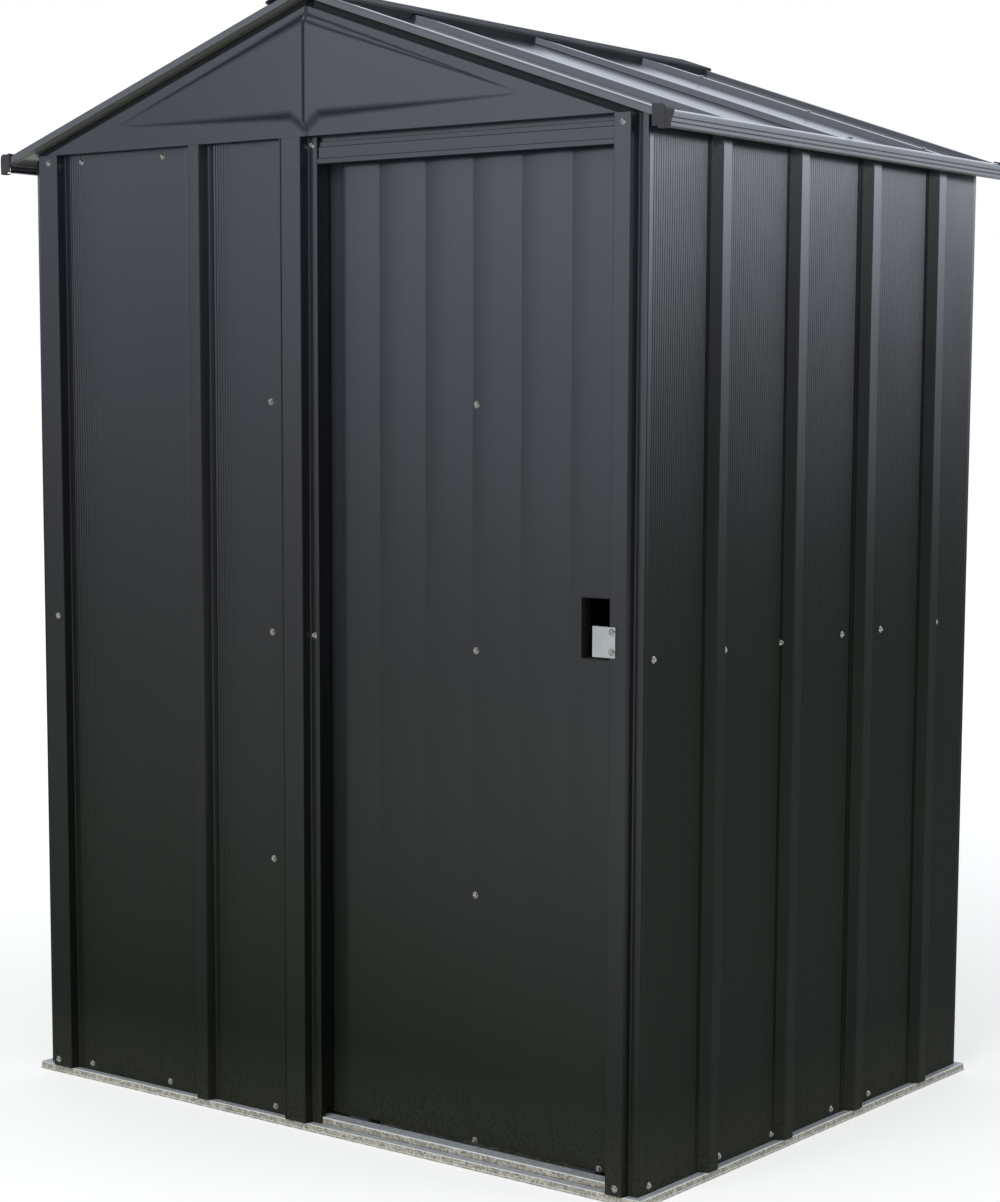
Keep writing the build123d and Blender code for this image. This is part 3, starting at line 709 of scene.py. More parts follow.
def uneven(flats, amount, low, high):
    """A smooth unevenness that fades out at the edges of each flat."""

    def wave(across, along):
        rise = np.zeros_like(across)
        part = (along - low) / (high - low)
        for number, (start, end) in enumerate(flats):
            where = np.clip((across - start) / (end - start), 0, 1)
            swell = (
                0.55 * np.sin(2 * pi * (1.7 * part + 0.31 * number))
                + 0.45 * np.sin(2 * pi * (3.9 * part + 0.63 * number + 0.4 * where))
            )
            rise += np.sin(pi * where) ** 2 * swell
        return amount * rise

    return wave


# Pieces


class SHED_OT_walls(bpy.types.Operator):
    """Reeded wall sheets of the front, both sides and the rear"""

    bl_idname = "shed.walls"
    bl_label = "Wall sheets"

    def execute(self, context):
        size = context.scene.shed_sizes
        spot = places()
        sides = side_finish()
        lift = size.sheet + size.seat
        lap = size.rib_top / 2 + size.rib_run + size.lap_lip
        front_rib_share = 0.628

        def wall_ribs(centres, raised=0.0):
            return ribs(centres, -size.rib_height, size.rib_top, size.rib_run, raised)

        def wall(name, node, points, outward, level=0.0, paint=sides):
            low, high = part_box(node)
            line = reeded(rounded(points, size.fold), level, size.reed_pitch, size.reed_height)
            bends = [across for across, depth in points if abs(depth - level) < SAME_PLACE]
            flats = [
                (start, end)
                for start, end in zip(bends, bends[1:])
                if end - start > LONG_FLAT * size.reed_pitch
            ]
            swell = uneven(flats, size.wave, low.z, high.z)

            def place(across, depth, along):
                return outward(across, depth + swell(across, along), along)

            shell = sheet_shell(line, steps(low.z, high.z, 20), place, size.sheet)
            piece(name, [shell], paint, [node])

        low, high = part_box("wall_front")
        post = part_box("corner_column_left")[1].x - size.column_lip
        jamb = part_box("door_jamb_left")[0].x + size.jamb_lip + size.column_run
        rib = post - size.column_run + (jamb - post + size.column_run) * front_rib_share
        points = [(low.x, 0.0)] + wall_ribs([rib]) + [(high.x, 0.0)]
        forward = front_place(spot.half_depth)
        wall("front_wall_reeded", "wall_front", points, forward, paint=paint_finish())

        first = size.side_shift - 1.5 * size.side_pitch
        rows = [first + number * size.side_pitch for number in range(4)]

        def rightward(across, depth, along):
            return spot.half_width - depth, across, along

        for side, hand in HANDS:
            outward = mirrored(rightward, side)
            node = f"wall_{hand}_front"
            low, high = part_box(node)
            turn = spot.half_width - (low.x if side > 0 else -high.x)
            near = [(low.y, turn), (low.y, 0.0)] + wall_ribs(rows[:3]) + [(rows[2] + lap, 0.0)]
            wall(f"{hand}_wall_front_reeded", node, near, outward)
            node = f"wall_{hand}_rear"
            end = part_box(node)[1].y
            far = [(rows[2] - lap, -lift)] + wall_ribs(rows[2:], lift) + [(end, -lift), (end, turn)]
            wall(f"{hand}_wall_rear_reeded", node, far, outward, -lift)

        def rearward(across, depth, along):
            return -across, spot.half_depth - depth, along

        pitch = size.rear_pitch
        end = -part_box("wall_rear_right")[1].x
        under = [(end, 0.0)] + wall_ribs([-2 * pitch, -pitch, 0.0]) + [(lap, 0.0)]
        wall("rear_wall_right_reeded", "wall_rear_right", under, rearward)
        end = -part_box("wall_rear_left")[0].x
        over = [(-lap, -lift)] + wall_ribs([0.0, pitch, 2 * pitch], lift)
        over += [(end - 2 * size.fold, -lift), (end - size.fold, 0.0), (end + size.tuck, 0.0)]
        wall("rear_wall_left_reeded", "wall_rear_left", over, rearward, -lift)
        return {"FINISHED"}


class SHED_OT_columns(bpy.types.Operator):
    """Corner column, door jambs and header of the front"""

    bl_idname = "shed.columns"
    bl_label = "Front columns"

    def execute(self, context):
        size = context.scene.shed_sizes
        half_depth = places().half_depth
        paint = paint_finish()
        put = front_place(half_depth)
        seat, out = -size.seat, -size.column_height
        room = 0.006
        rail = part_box("door_rail_top")[0]
        rail_depth, rail_low = rail.y + half_depth - size.seat, rail.z - room
        notch_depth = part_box("door_track")[0].y + half_depth - room

        def column(name, node, points):
            low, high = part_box(node)
            line = rounded(shifted(points, -size.sheet), size.fold * TIGHT_FOLD)
            notch = low.z + size.jamb_notch

            def cut(across, depth, along):
                head = (depth > rail_depth) & (along > rail_low)
                return head | ((depth > notch_depth) & (along < notch))

            shell = sheet_shell(line, steps(low.z, high.z, 16, notch, rail_low), put, size.sheet, cut)
            piece(name, [shell], paint, [node])

        low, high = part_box("corner_column_left")
        left, right = low.x + size.column_lip, high.x - size.column_lip
        corner = [
            (low.x, seat), (left, seat), (left + size.column_run, out),
            (right - size.column_run, out), (right, seat), (high.x, seat),
        ]
        column("corner_column_folded", "corner_column_left", corner)

        low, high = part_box("door_jamb_left")
        opening, back = high.x - size.sheet, high.y + half_depth
        foot = opening - size.jamb_face
        start = low.x + size.jamb_lip
        strip = start + size.column_run + size.seam / 4
        jamb = [
            (low.x, seat), (start, seat), (start + size.column_run, out),
            (strip, out), (strip + size.seam / 2, out + size.seam), (strip + size.seam, out),
            (foot - size.column_run, out), (foot, seat), (opening, seat),
            (opening, rail_depth), (opening, notch_depth), (opening, back),
        ]
        column("left_jamb_folded", "door_jamb_left", jamb)

        low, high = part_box("door_jamb_right")
        opening, back = low.x + size.sheet, high.y + half_depth
        end = opening + size.jamb_strip
        jamb = [
            (opening, back), (opening, notch_depth), (opening, rail_depth), (opening, out),
            (end, out), (end + size.column_run, seat), (high.x, seat),
        ]
        column("right_jamb_folded", "door_jamb_right", jamb)

        low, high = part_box("door_header")
        band, step, bend, thinner = 0.008, 0.0018, 0.0007, 0.9
        back = high.y - low.y
        section = [
            (back, low.z), (0.0, low.z), (0.0, low.z + band), (step, low.z + band),
            (step, high.z - band), (2 * step, high.z - band), (2 * step, high.z), (back, high.z),
        ]
        line, ends = rounded(section, bend), [low.x, high.x]
        header = sheet_shell(line, ends, front_along(-low.y), -size.sheet * thinner)
        piece("door_header_folded", [header], paint, ["door_header"])
        return {"FINISHED"}


class SHED_OT_door(bpy.types.Operator):
    """Sliding door of six bowed planks with its handle opening"""

    bl_idname = "shed.door"
    bl_label = "Sliding door"

    def execute(self, context):
        size = context.scene.shed_sizes
        half_depth = places().half_depth
        low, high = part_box("door_sheet")
        grip_low, grip_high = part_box("door_handle")
        face = low.y + size.door_bow + half_depth
        back, crest = face + size.door_depth, face - size.door_bow
        first, last = low.x + size.door_margin, high.x - size.door_margin
        crease, bend, sharp = 0.0025, size.fold * TIGHT_FOLD, radians(3.2)
        plank = (last - first) / DOOR_PLANKS
        holes = (grip_low.x - size.seat, grip_high.x + size.seat)
        line = rounded([(low.x, back), (low.x, crest), (first - crease, crest)], bend)[:-1]
        for number in range(DOOR_PLANKS):
            begin = first + number * plank
            marks = [hole for hole in holes if begin < hole < begin + plank]
            spots = steps(begin, begin + plank, 14, *marks)
            if number < DOOR_PLANKS - 1:
                spots.pop()
            for across in spots:
                part = max(2 * (across - begin) / plank - 1, -1 if number else 0)
                line.append((across, face - size.door_bow * (1 - part * part)))
        line += rounded([(last + crease, face), (high.x, face), (high.x, back)], bend)[1:]
        sill = grip_low.z - size.grip_drop - size.seat
        head = grip_high.z + size.grip_rise + size.seat

        def cut(across, depth, along):
            beside = (across > holes[0]) & (across < holes[1])
            return beside & (along > sill) & (along < head) & (depth < face + size.fold)

        swell = uneven([(first, last)], size.wave, low.z, high.z)
        # The door paint has a painted sheen left of the jamb's edge.
        paint = paint_finish("satin_paint_door", edge=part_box("door_jamb_left")[1].x + size.painted_sheen)

        def place(across, depth, along):
            return across, depth + swell(across, along) - half_depth, along

        shell = sheet_shell(line, steps(low.z, high.z, 22, sill, head), place, size.sheet, cut)
        piece("door_planks", [shell], paint, ["door_sheet"], body="door", sharp=sharp)
        return {"FINISHED"}


class SHED_OT_gables(bpy.types.Operator):
    """Gable trays with a triangle pressed outward"""

    bl_idname = "shed.gables"
    bl_label = "Gables"

    def execute(self, context):
        size = context.scene.shed_sizes
        paint = paint_finish()
        low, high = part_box("gable_front_right")
        slope = places().fall
        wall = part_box("corner_column_left")[0].y
        tray = high.y - wall
        tip, turn = 0.68 * high.x, 0.032
        foot_low, pad_low, tip_low = low.z + 0.003, low.z + 0.0265, low.z + 0.038
        drop, soft = 0.027, 0.0012
        groove, groove_width = 0.003, 0.0028
        fine_end = 0.03

        def top(across):
            return high.z - slope * (across - low.x)

        edges = (
            ((low.x, foot_low), (turn, pad_low)),
            ((turn, pad_low), (tip, tip_low)),
            ((tip, tip_low), (low.x, top(low.x) - drop)),
        )

        def relief(across, height):
            spike, lower, upper = (
                ((height - start[1]) * (end[0] - start[0]) - (across - start[0]) * (end[1] - start[1]))
                / hypot(end[0] - start[0], end[1] - start[1])
                for start, end in edges
            )
            inside = np.minimum(np.maximum(spike, lower), upper)
            bevel = np.clip(inside / size.pad_bevel, 0, 1) * size.pad_height
            ceiling = size.pad_height * np.clip((tip - across) / (tip - low.x), 0, 1)
            blend = np.clip(0.5 + 0.5 * (ceiling - bevel) / soft, 0, 1)
            rise = ceiling * (1 - blend) + bevel * blend - soft * blend * (1 - blend)
            seam = groove * np.clip(1 - (across - low.x) / groove_width, 0, 1)
            return np.maximum(rise, 0) - seam

        def bent_back(across, height):
            below = (top(across) - height) / size.gable_fall
            return size.gable_back * np.clip(1 - below, 0, 1)

        def pressed(across, depth, along):
            bend = np.maximum(top(across) - size.gable_fall, low.z)
            height = low.z + np.minimum(along, 1) * (bend - low.z)
            height = height + np.maximum(along - 1, 0) * (top(across) - bend)
            return across, wall + depth - relief(across, height) + bent_back(across, height), height

        def floor(across, depth, along):
            start = size.sheet + bent_back(along, low.z)
            return along, wall + np.maximum(across, start), low.z + depth

        def roof(across, depth, along):
            return along, wall + across, top(along) - depth

        def post(across, depth, along):
            return low.x + depth, wall + across, along

        columns = [*np.linspace(low.x, fine_end, 26)[:-1], *np.linspace(fine_end, high.x, 150)]
        rows = [*np.linspace(0, 0.985, 60), 1.0, 1.05, 1.5, 2.0]
        edge = [(size.sheet, 0.0), (tray, 0.0)]
        sheets = (
            ([(across, 0.0) for across in columns], rows, pressed),
            (edge, np.linspace(low.x, high.x, 60), floor),
            ([(size.gable_back, 0.0), (tray, 0.0)], [low.x, high.x], roof),
            (edge, [low.z, high.z - size.gable_fall], post),
        )
        for face, end in ENDS:
            for side, hand in HANDS:
                shells = [
                    sheet_shell(line, lengths, mirrored(place, side, face), size.sheet)
                    for line, lengths, place in sheets
                ]
                node = f"gable_{end}_{hand}"
                piece(f"{node}_pressed", shells, paint, [node])
        return {"FINISHED"}


class SHED_OT_roof(bpy.types.Operator):
    """Ribbed roof sheets, the ridge cap and the rolled trims"""

    bl_idname = "shed.roof"
    bl_label = "Roof"

    def execute(self, context):
        size = context.scene.shed_sizes
        gloss = roof_finish()
        trim = trim_finish()
        trim_low, trim_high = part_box("rake_trims_front")
        eave_low, eave_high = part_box("eave_trim_right")
        gable_low, gable_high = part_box("gable_front_right")
        fall, angle = places().fall, places().angle
        lift = size.sheet + size.seat
        ridge = gable_high.z + fall * gable_low.x + size.sheet / cos(angle) + size.seat
        half_depth = -trim_low.y
        ridge_gap, sheet_end = 0.008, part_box("roof_right_front")[1].x
        sheet_bend = 0.0025

        def slope(start, end):
            def place(across, depth, along):
                reach = start + along * (end - start)
                down = (reach - depth * sin(angle)) / cos(angle)
                return reach, across, ridge - down * sin(angle) + depth * cos(angle)

            return place

        def roof_ribs(centres, raised=0.0):
            return ribs(centres, size.roof_rib_height, size.roof_rib_top, size.roof_rib_run, raised)

        rib = half_depth * ROOF_RIB_SHARE
        edge = half_depth - size.seat - 2 * size.sheet
        rise = size.roof_rib_height - size.rake_roll
        lap = size.roof_rib_top / 2 + size.roof_rib_run + size.lap_lip
        front = [(-edge, rise), (-edge, 0.0)] + roof_ribs([-rib, 0.0]) + [(lap, 0.0)]
        rear = [(-lap, lift)] + roof_ribs([0.0, rib], lift) + [(edge, lift), (edge, rise)]
        for side, hand in HANDS:
            place = mirrored(slope(ridge_gap, sheet_end), side)
            for points, end in ((front, "front"), (rear, "rear")):
                line = rounded(points, sheet_bend)
                shell = sheet_shell(line, np.linspace(0, 1, 9), place, -size.sheet)
                node = f"roof_{hand}_{end}"
                piece(f"{node}_ribbed", [shell], gloss, [node])

        drop = 2 * size.sheet + size.seat
        head = size.roof_rib_height + size.seat + size.sheet
        rake_lip, rake_slope, rake_fold = 0.015, 0.004, 0.0008
        section = [
            (rake_lip - half_depth, -drop), (-half_depth, -drop), (-half_depth, head),
            (rake_lip - half_depth, head), (rake_lip + rake_slope - half_depth, lift),
        ]
        line = rounded(section, (rake_fold, size.rake_roll, size.small_fold), 6)
        for face, end in ENDS:
            shells = []
            for side in MIRROR_SIDES:
                place = mirrored(slope(size.seat, trim_high.x), side, face)
                shells.append(sheet_shell(line, np.linspace(0, 1, 7), place, -size.sheet))
            node = f"rake_trims_{end}"
            piece(f"{node}_rolled", shells, trim, [node])

        skirt, eave_lip = 0.0105, 0.014
        groove, crease, crease_fold = 0.0020, 0.0011, 0.0004
        head = (size.roof_rib_height + size.sheet + 2 * size.seat + size.sheet) / cos(angle) + skirt
        upper, lower = head * 0.6, head * 0.29
        section = [(-eave_lip, head + eave_lip * fall), (0.0, head)]
        for level in (upper, lower):
            section += [(0.0, level + crease), (-groove, level), (0.0, level - crease)]
        section += [(0.0, 0.0), (-eave_lip, 0.0)]
        radii = [size.eave_roll] + [crease_fold] * 6 + [size.small_fold]
        line = rounded(section, radii, 6)

        def eave_place(across, depth, along):
            return eave_high.x + across, along, eave_low.z + depth

        for side, hand in HANDS:
            place = mirrored(eave_place, side)
            shell = sheet_shell(line, steps(eave_low.y, eave_high.y, 8), place, -size.sheet)
            node = f"eave_trim_{hand}"
            piece(f"{node}_rolled", [shell], trim, [node])

        low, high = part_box("ridge_cap")
        half, peak = high.x, high.z
        brim = peak - half * fall
        rest = low.z + (size.roof_rib_height - size.seat) / cos(angle)
        brim_fold, peak_fold = 0.0015, 0.004
        section = [(-half, rest), (-half, brim), (0.0, peak), (half, brim), (half, rest)]

        def ridge_place(across, depth, along):
            return across, along, depth

        line = rounded(section, (brim_fold, peak_fold, brim_fold), 5)
        shells = [sheet_shell(line, steps(low.y, high.y, 10), ridge_place, -size.sheet)]
        tuck, lip_sheet = 0.005, size.sheet * 0.5
        outer = half - size.sheet
        strip = [(outer, rest), (outer - tuck, low.z)]
        stops = [-half_depth + rake_lip + size.seat, -rib, 0.0, rib, half_depth - rake_lip - size.seat]

        def lip(begin, until):
            def place(across, depth, along):
                up = (depth - low.z) / (rest - low.z)
                slack = size.roof_rib_top / 2 + lift + size.roof_rib_run * (1 - up)
                near = begin + (slack if begin != stops[0] else 0.0)
                far = until - (slack if until != stops[-1] else 0.0)
                return across, near + along * (far - near), depth

            return place

        for side in MIRROR_SIDES:
            for begin, until in zip(stops, stops[1:]):
                place = mirrored(lip(begin, until), side)
                shells.append(sheet_shell(strip, [0.0, 0.5, 1.0], place, -lip_sheet))
        piece("ridge_cap_folded", shells, ridge_finish(), ["ridge_cap"])
        return {"FINISHED"}


def softened(name, node, width, material, body, rise=0.0, drop=0.0, shells=()):
    """A copy of a frame node with its edges rounded over.

    It is drawn out up by the rise and down by the drop, and the shells are added to it.
    """
    low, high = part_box(node)
    mesh = frame["nodes"][node].data.copy()
    mesh.name = name
    mesh.materials.clear()
    work = bmesh.new()
    work.from_mesh(mesh)
    bmesh.ops.remove_doubles(work, verts=work.verts, dist=SAME_PLACE)
    bmesh.ops.dissolve_limit(work, angle_limit=radians(1), verts=work.verts, edges=work.edges)
    edges = [edge for edge in work.edges if edge.calc_face_angle(0) > radians(20)]
    bmesh.ops.bevel(
        work, geom=edges, offset=width, segments=3, profile=0.5, affect="EDGES", clamp_overlap=True
    )
    for vert in work.verts:
        part = (vert.co.z - low.z) / (high.z - low.z)
        vert.co.z += part * rise - (1 - part) * drop
    for points, faces in shells:
        corners = [work.verts.new(point) for point in points]
        made = [work.faces.new([corners[int(corner)] for corner in face]) for face in faces]
        bmesh.ops.recalc_face_normals(work, faces=made)
    for face in work.faces:
        face.material_index = 0
    work.to_mesh(mesh)
    work.free()
    settle(name, mesh, material, body, [node])


class SHED_OT_fittings(bpy.types.Operator):
    """Corner caps, hasp plate and door handle with softened edges"""

    bl_idname = "shed.fittings"
    bl_label = "Caps, hasp and handle"

    def execute(self, context):
        size = context.scene.shed_sizes
        plastic = plastic_finish()
        grip = plastic_finish("handle_plastic", "grip")
        low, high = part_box("roof_corner_caps")
        eave_low, eave_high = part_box("eave_trim_right")
        brim, top = eave_low.z - 0.0005, eave_high.z + 0.0012
        wide, thick, swelling, sunk = 0.0222, 0.0006, 0.0032, 0.0008
        lean, hump, hump_at, hump_wide = 0.2, 0.0022, 0.74, 0.20
        cap_edge, hasp_edge, grip_edge = 0.0008, 0.0005, 0.0004

        def pillow(part):
            return np.sqrt(np.clip(1 - (2 * part - 1) ** 4, 0, 1))

        def cap_place(across, depth, along):
            raised = hump * np.exp(-(((across - hump_at) / hump_wide) ** 2))
            head = top + (1 - across) * wide * lean + raised
            bulge = swelling * pillow(across) * pillow(along)
            x, y = high.x - wide * (1 - across), low.y - bulge + sunk + depth
            return x, y, brim + along * (head - brim)

        line = [(step, 0.0) for step in np.linspace(0, 1, 25)]
        pillows = [
            sheet_shell(line, np.linspace(0, 1, 21), mirrored(cap_place, side, face), thick)
            for side in MIRROR_SIDES
            for face in MIRROR_SIDES
        ]
        softened(
            "corner_caps_moulded", "roof_corner_caps", cap_edge, plastic, "shed",
            shells=pillows,
        )
        softened("hasp_plate_bent", "hasp_plate", hasp_edge, plate_finish(), "shed")
        softened(
            "door_handle_sleeve", "door_handle", grip_edge, grip, "door",
            size.grip_rise, size.grip_drop,
        )
        return {"FINISHED"}


class SHED_OT_base(bpy.types.Operator):
    """Stepped zinc base rails with mitred corners, and the door track"""

    bl_idname = "shed.base"
    bl_label = "Base frame"

    def execute(self, context):
        size = context.scene.shed_sizes
        zinc = zinc_finish()
        spot = places()
        half_width, half_depth = spot.half_width, spot.half_depth
        overhang = -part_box("base_rail_rear")[0].x - half_width
        top, sill = 0.013, 0.086
        flange, step, inset, upstand = 0.034, 0.003, 0.0012, 0.027
        rail_fold, shoe_room = 0.0019, 0.0014
        inner = size.sheet + size.seat
        outer = [
            (flange - overhang, 0.0), (-overhang, 0.0), (-overhang, step),
            (inset - overhang, step), (inset - overhang, top),
        ]
        raised = outer + [(inner, top), (inner, top + upstand)]
        broad = outer + [(sill, top), (sill, 0.0), (sill - flange / 2, 0.0)]

        def zinc_piece(name, shells, node):
            piece(name, shells, zinc, [node])

        def rail(name, points, place, node):
            line = rounded(points, rail_fold, 4)
            zinc_piece(name, [sheet_shell(line, np.linspace(-1, 1, 13), place, -size.sheet)], node)

        def end_rail(across, depth, along):
            return along * (half_width - across - size.seat), across - half_depth, depth

        def side_rail(across, depth, along):
            return half_width - across, along * (half_depth - across - size.seat), depth

        low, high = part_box("door_track")
        front_line, rear_line = size.track_step, high.y + half_depth
        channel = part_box("door_shoes")[0].y + half_depth - shoe_room
        head = high.z - size.sheet
        track = [
            (front_line, low.z), (front_line, head), (channel, head),
            (channel, low.z), (rear_line, low.z), (rear_line, high.z),
        ]
        nose = [
            (size.track_nose, top + size.sheet), (size.track_nose, head),
            (front_line + size.small_fold, head),
        ]
        gap_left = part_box("door_jamb_left")[1].x + size.seat
        gap_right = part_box("door_jamb_right")[0].x - size.seat
        shells = [
            sheet_shell(rounded(points, size.small_fold, 3), ends, front_along(half_depth), size.sheet)
            for points, ends in ((track, [low.x, high.x]), (nose, [gap_left, gap_right]))
        ]
        zinc_piece("door_track_folded", shells, "door_track")
        for face, end in ENDS:
            points = broad if end == "front" else raised
            rail(f"base_{end}_stepped", points, mirrored(end_rail, face=face), f"base_rail_{end}")
        for side, hand in HANDS:
            rail(f"base_{hand}_stepped", raised, mirrored(side_rail, side), f"base_rail_{hand}")
        return {"FINISHED"}


def screw_shell(spot, out, turn, head, washer):
    """A domed, cross-slotted screw on its washer, standing out from a spot."""
    around, thick, collar, lip, dome = 20, 0.0007, 0.0004, 0.0002, 0.0030
    slot_share, slot_reach, slot_depth, crown_rise = 0.16, 0.62, 0.0009, 0.0020
    neck = thick + collar
    rings = [(washer, 0.0), (washer, thick * 0.7), (washer - collar, thick)]
    rings += [(head + lip, thick), (head, neck)]
    for part in (0.30, 0.52, 0.70, 0.85, 0.95):
        rings.append((head * cos(part * pi / 2), neck + dome * sin(part * pi / 2)))
    points = []
    for radius, height in rings:
        for step in range(around):
            bearing = 2 * pi * step / around
            x, y = radius * cos(bearing), radius * sin(bearing)
            slot = min(abs(x), abs(y)) < slot_share * head and radius < slot_reach * head
            points.append((x, y, height - (slot_depth if slot else 0.0)))
    points.append((0.0, 0.0, neck + crown_rise))
    faces = []
    for ring in range(0, (len(rings) - 1) * around, around):
        for step in range(around):
            ahead = (step + 1) % around
            faces.append((ring + step, ring + ahead, ring + around + ahead, ring + around + step))
    crown, tip = (len(rings) - 1) * around, len(points) - 1
    for step in range(around):
        faces.append((crown + step, crown + (step + 1) % around, tip))
    faces.append(tuple(range(around)))
    aim = Vector(out).normalized().to_track_quat("Z", "Y").to_matrix() @ Matrix.Rotation(turn, 3, "Z")
    return [tuple(aim @ Vector(point) + Vector(spot)) for point in points], faces


class SHED_OT_screws(bpy.types.Operator):
    """Domed screws on the walls, columns, door, hasp and roof"""

    bl_idname = "shed.screws"
    bl_label = "Screws"

    def execute(self, context):
        size = context.scene.shed_sizes
        spot = places()
        plated = screw_finish()
        lift = size.sheet + size.seat
        numbers = count(1)
        turn_step, proud, edge = 0.9, 0.0002, 0.012
        lap_at, eave_inset = -0.02, 0.010
        hasp_inset, hasp_above, hasp_below = 0.0055, 0.0075, 0.0085

        def screws(name, spots, out, body="shed"):
            shells = [
                screw_shell(place, out, turn_step * next(numbers), size.head, size.washer)
                for place in spots
            ]
            piece(name, shells, plated, body=body)

        flat = -spot.half_depth - proud
        lip = -spot.half_depth - lift
        strip = -spot.half_depth - size.column_height - size.sheet
        top, foot = spot.wall_high - edge, spot.wall_low + edge
        middle, side_middle, rear_middle = 0.826, 0.827, 0.82
        front = [
            (-0.095, lip, 1.202), (-0.095, lip, middle), (-0.095, lip, 0.448),
            (-0.594, strip, middle), (-0.600, strip, top), (-0.535, flat, top),
            (-0.339, flat, top), (-0.002, lip, top), (0.615, strip, top),
            (-0.002, lip, middle), (-0.612, strip, foot), (-0.542, flat, foot),
            (-0.346, flat, foot), (-0.095, lip, foot), (0.617, strip, foot),
        ]
        screws("screws_front", front, (0, -1, 0))
        across, over = spot.half_width + proud, spot.half_width + lift
        rows = (
            (across, side_middle, (-0.474, -0.282, -0.119, 0.070)),
            (across, foot, (-0.472, -0.279, -0.124, 0.064)),
            (over, side_middle, (0.158, 0.195, 0.389)),
            (over, foot, (0.187, 0.380)),
        )
        for side, hand in HANDS:
            spots = [(side * x, y, z) for x, z, row in rows for y in row]
            screws(f"screws_{hand}", spots, (side, 0, 0))
        rear = [
            (x, spot.half_depth + (lift if x < lap_at else proud), z)
            for z in (foot, rear_middle, top)
            for x in (-0.56, -0.33, -0.11, 0.11, 0.33, 0.56)
        ]
        screws("screws_rear", rear, (0, 1, 0))

        low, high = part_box("door_sheet")
        plank = (high.x - low.x - 2 * size.door_margin) / DOOR_PLANKS

        def skin(x):
            part = 2 * (((x - low.x - size.door_margin) / plank) % 1.0) - 1
            return low.y + size.door_bow * part * part

        spots = ((0.305, 1.20), (0.305, 0.818), (0.305, 0.43), (0.305, 0.031), (0.551, 0.031))
        screws("screws_door", [(x, skin(x), z) for x, z in spots], (0, -1, 0), "door")
        low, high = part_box("hasp_plate")
        heights = (high.z - hasp_above, low.z + hasp_below)
        hasp = [(high.x - hasp_inset, low.y, z) for z in heights]
        screws("screws_hasp", hasp, (0, -1, 0))

        low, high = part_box("roof_right_rear")
        rib = -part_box("rake_trims_front")[0].y * ROOF_RIB_SHARE
        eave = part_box("eave_trim_right")[1]
        for side, hand in HANDS:
            spots = [(side * x, rib, high.z - (x - low.x) * spot.fall) for x in (0.19, 0.415, 0.643)]
            spots.append((side * (eave.x - eave_inset), 0.0, eave.z))
            screws(f"screws_roof_{hand}", spots, (side * sin(spot.angle), 0, cos(spot.angle)))
        return {"FINISHED"}


class SHED_OT_frame_finish(bpy.types.Operator):
    """Paint, zinc and plastic on the inner rails, braces and runners"""

    bl_idname = "shed.frame_finish"
    bl_label = "Inner parts"

    def execute(self, context):
        finishes = {
            "painted_steel": paint_finish(),
            "painted_roof": roof_finish(),
            "galvanised_steel": zinc_finish(),
            "moulded_plastic": plastic_finish(),
        }
        for part in frame["record"]["subparts"]:
            node = frame["nodes"][part["node"]]
            for slot in node.material_slots:
                slot.link = "OBJECT"
                slot.material = finishes[part["material_slot"]]
        return {"FINISHED"}


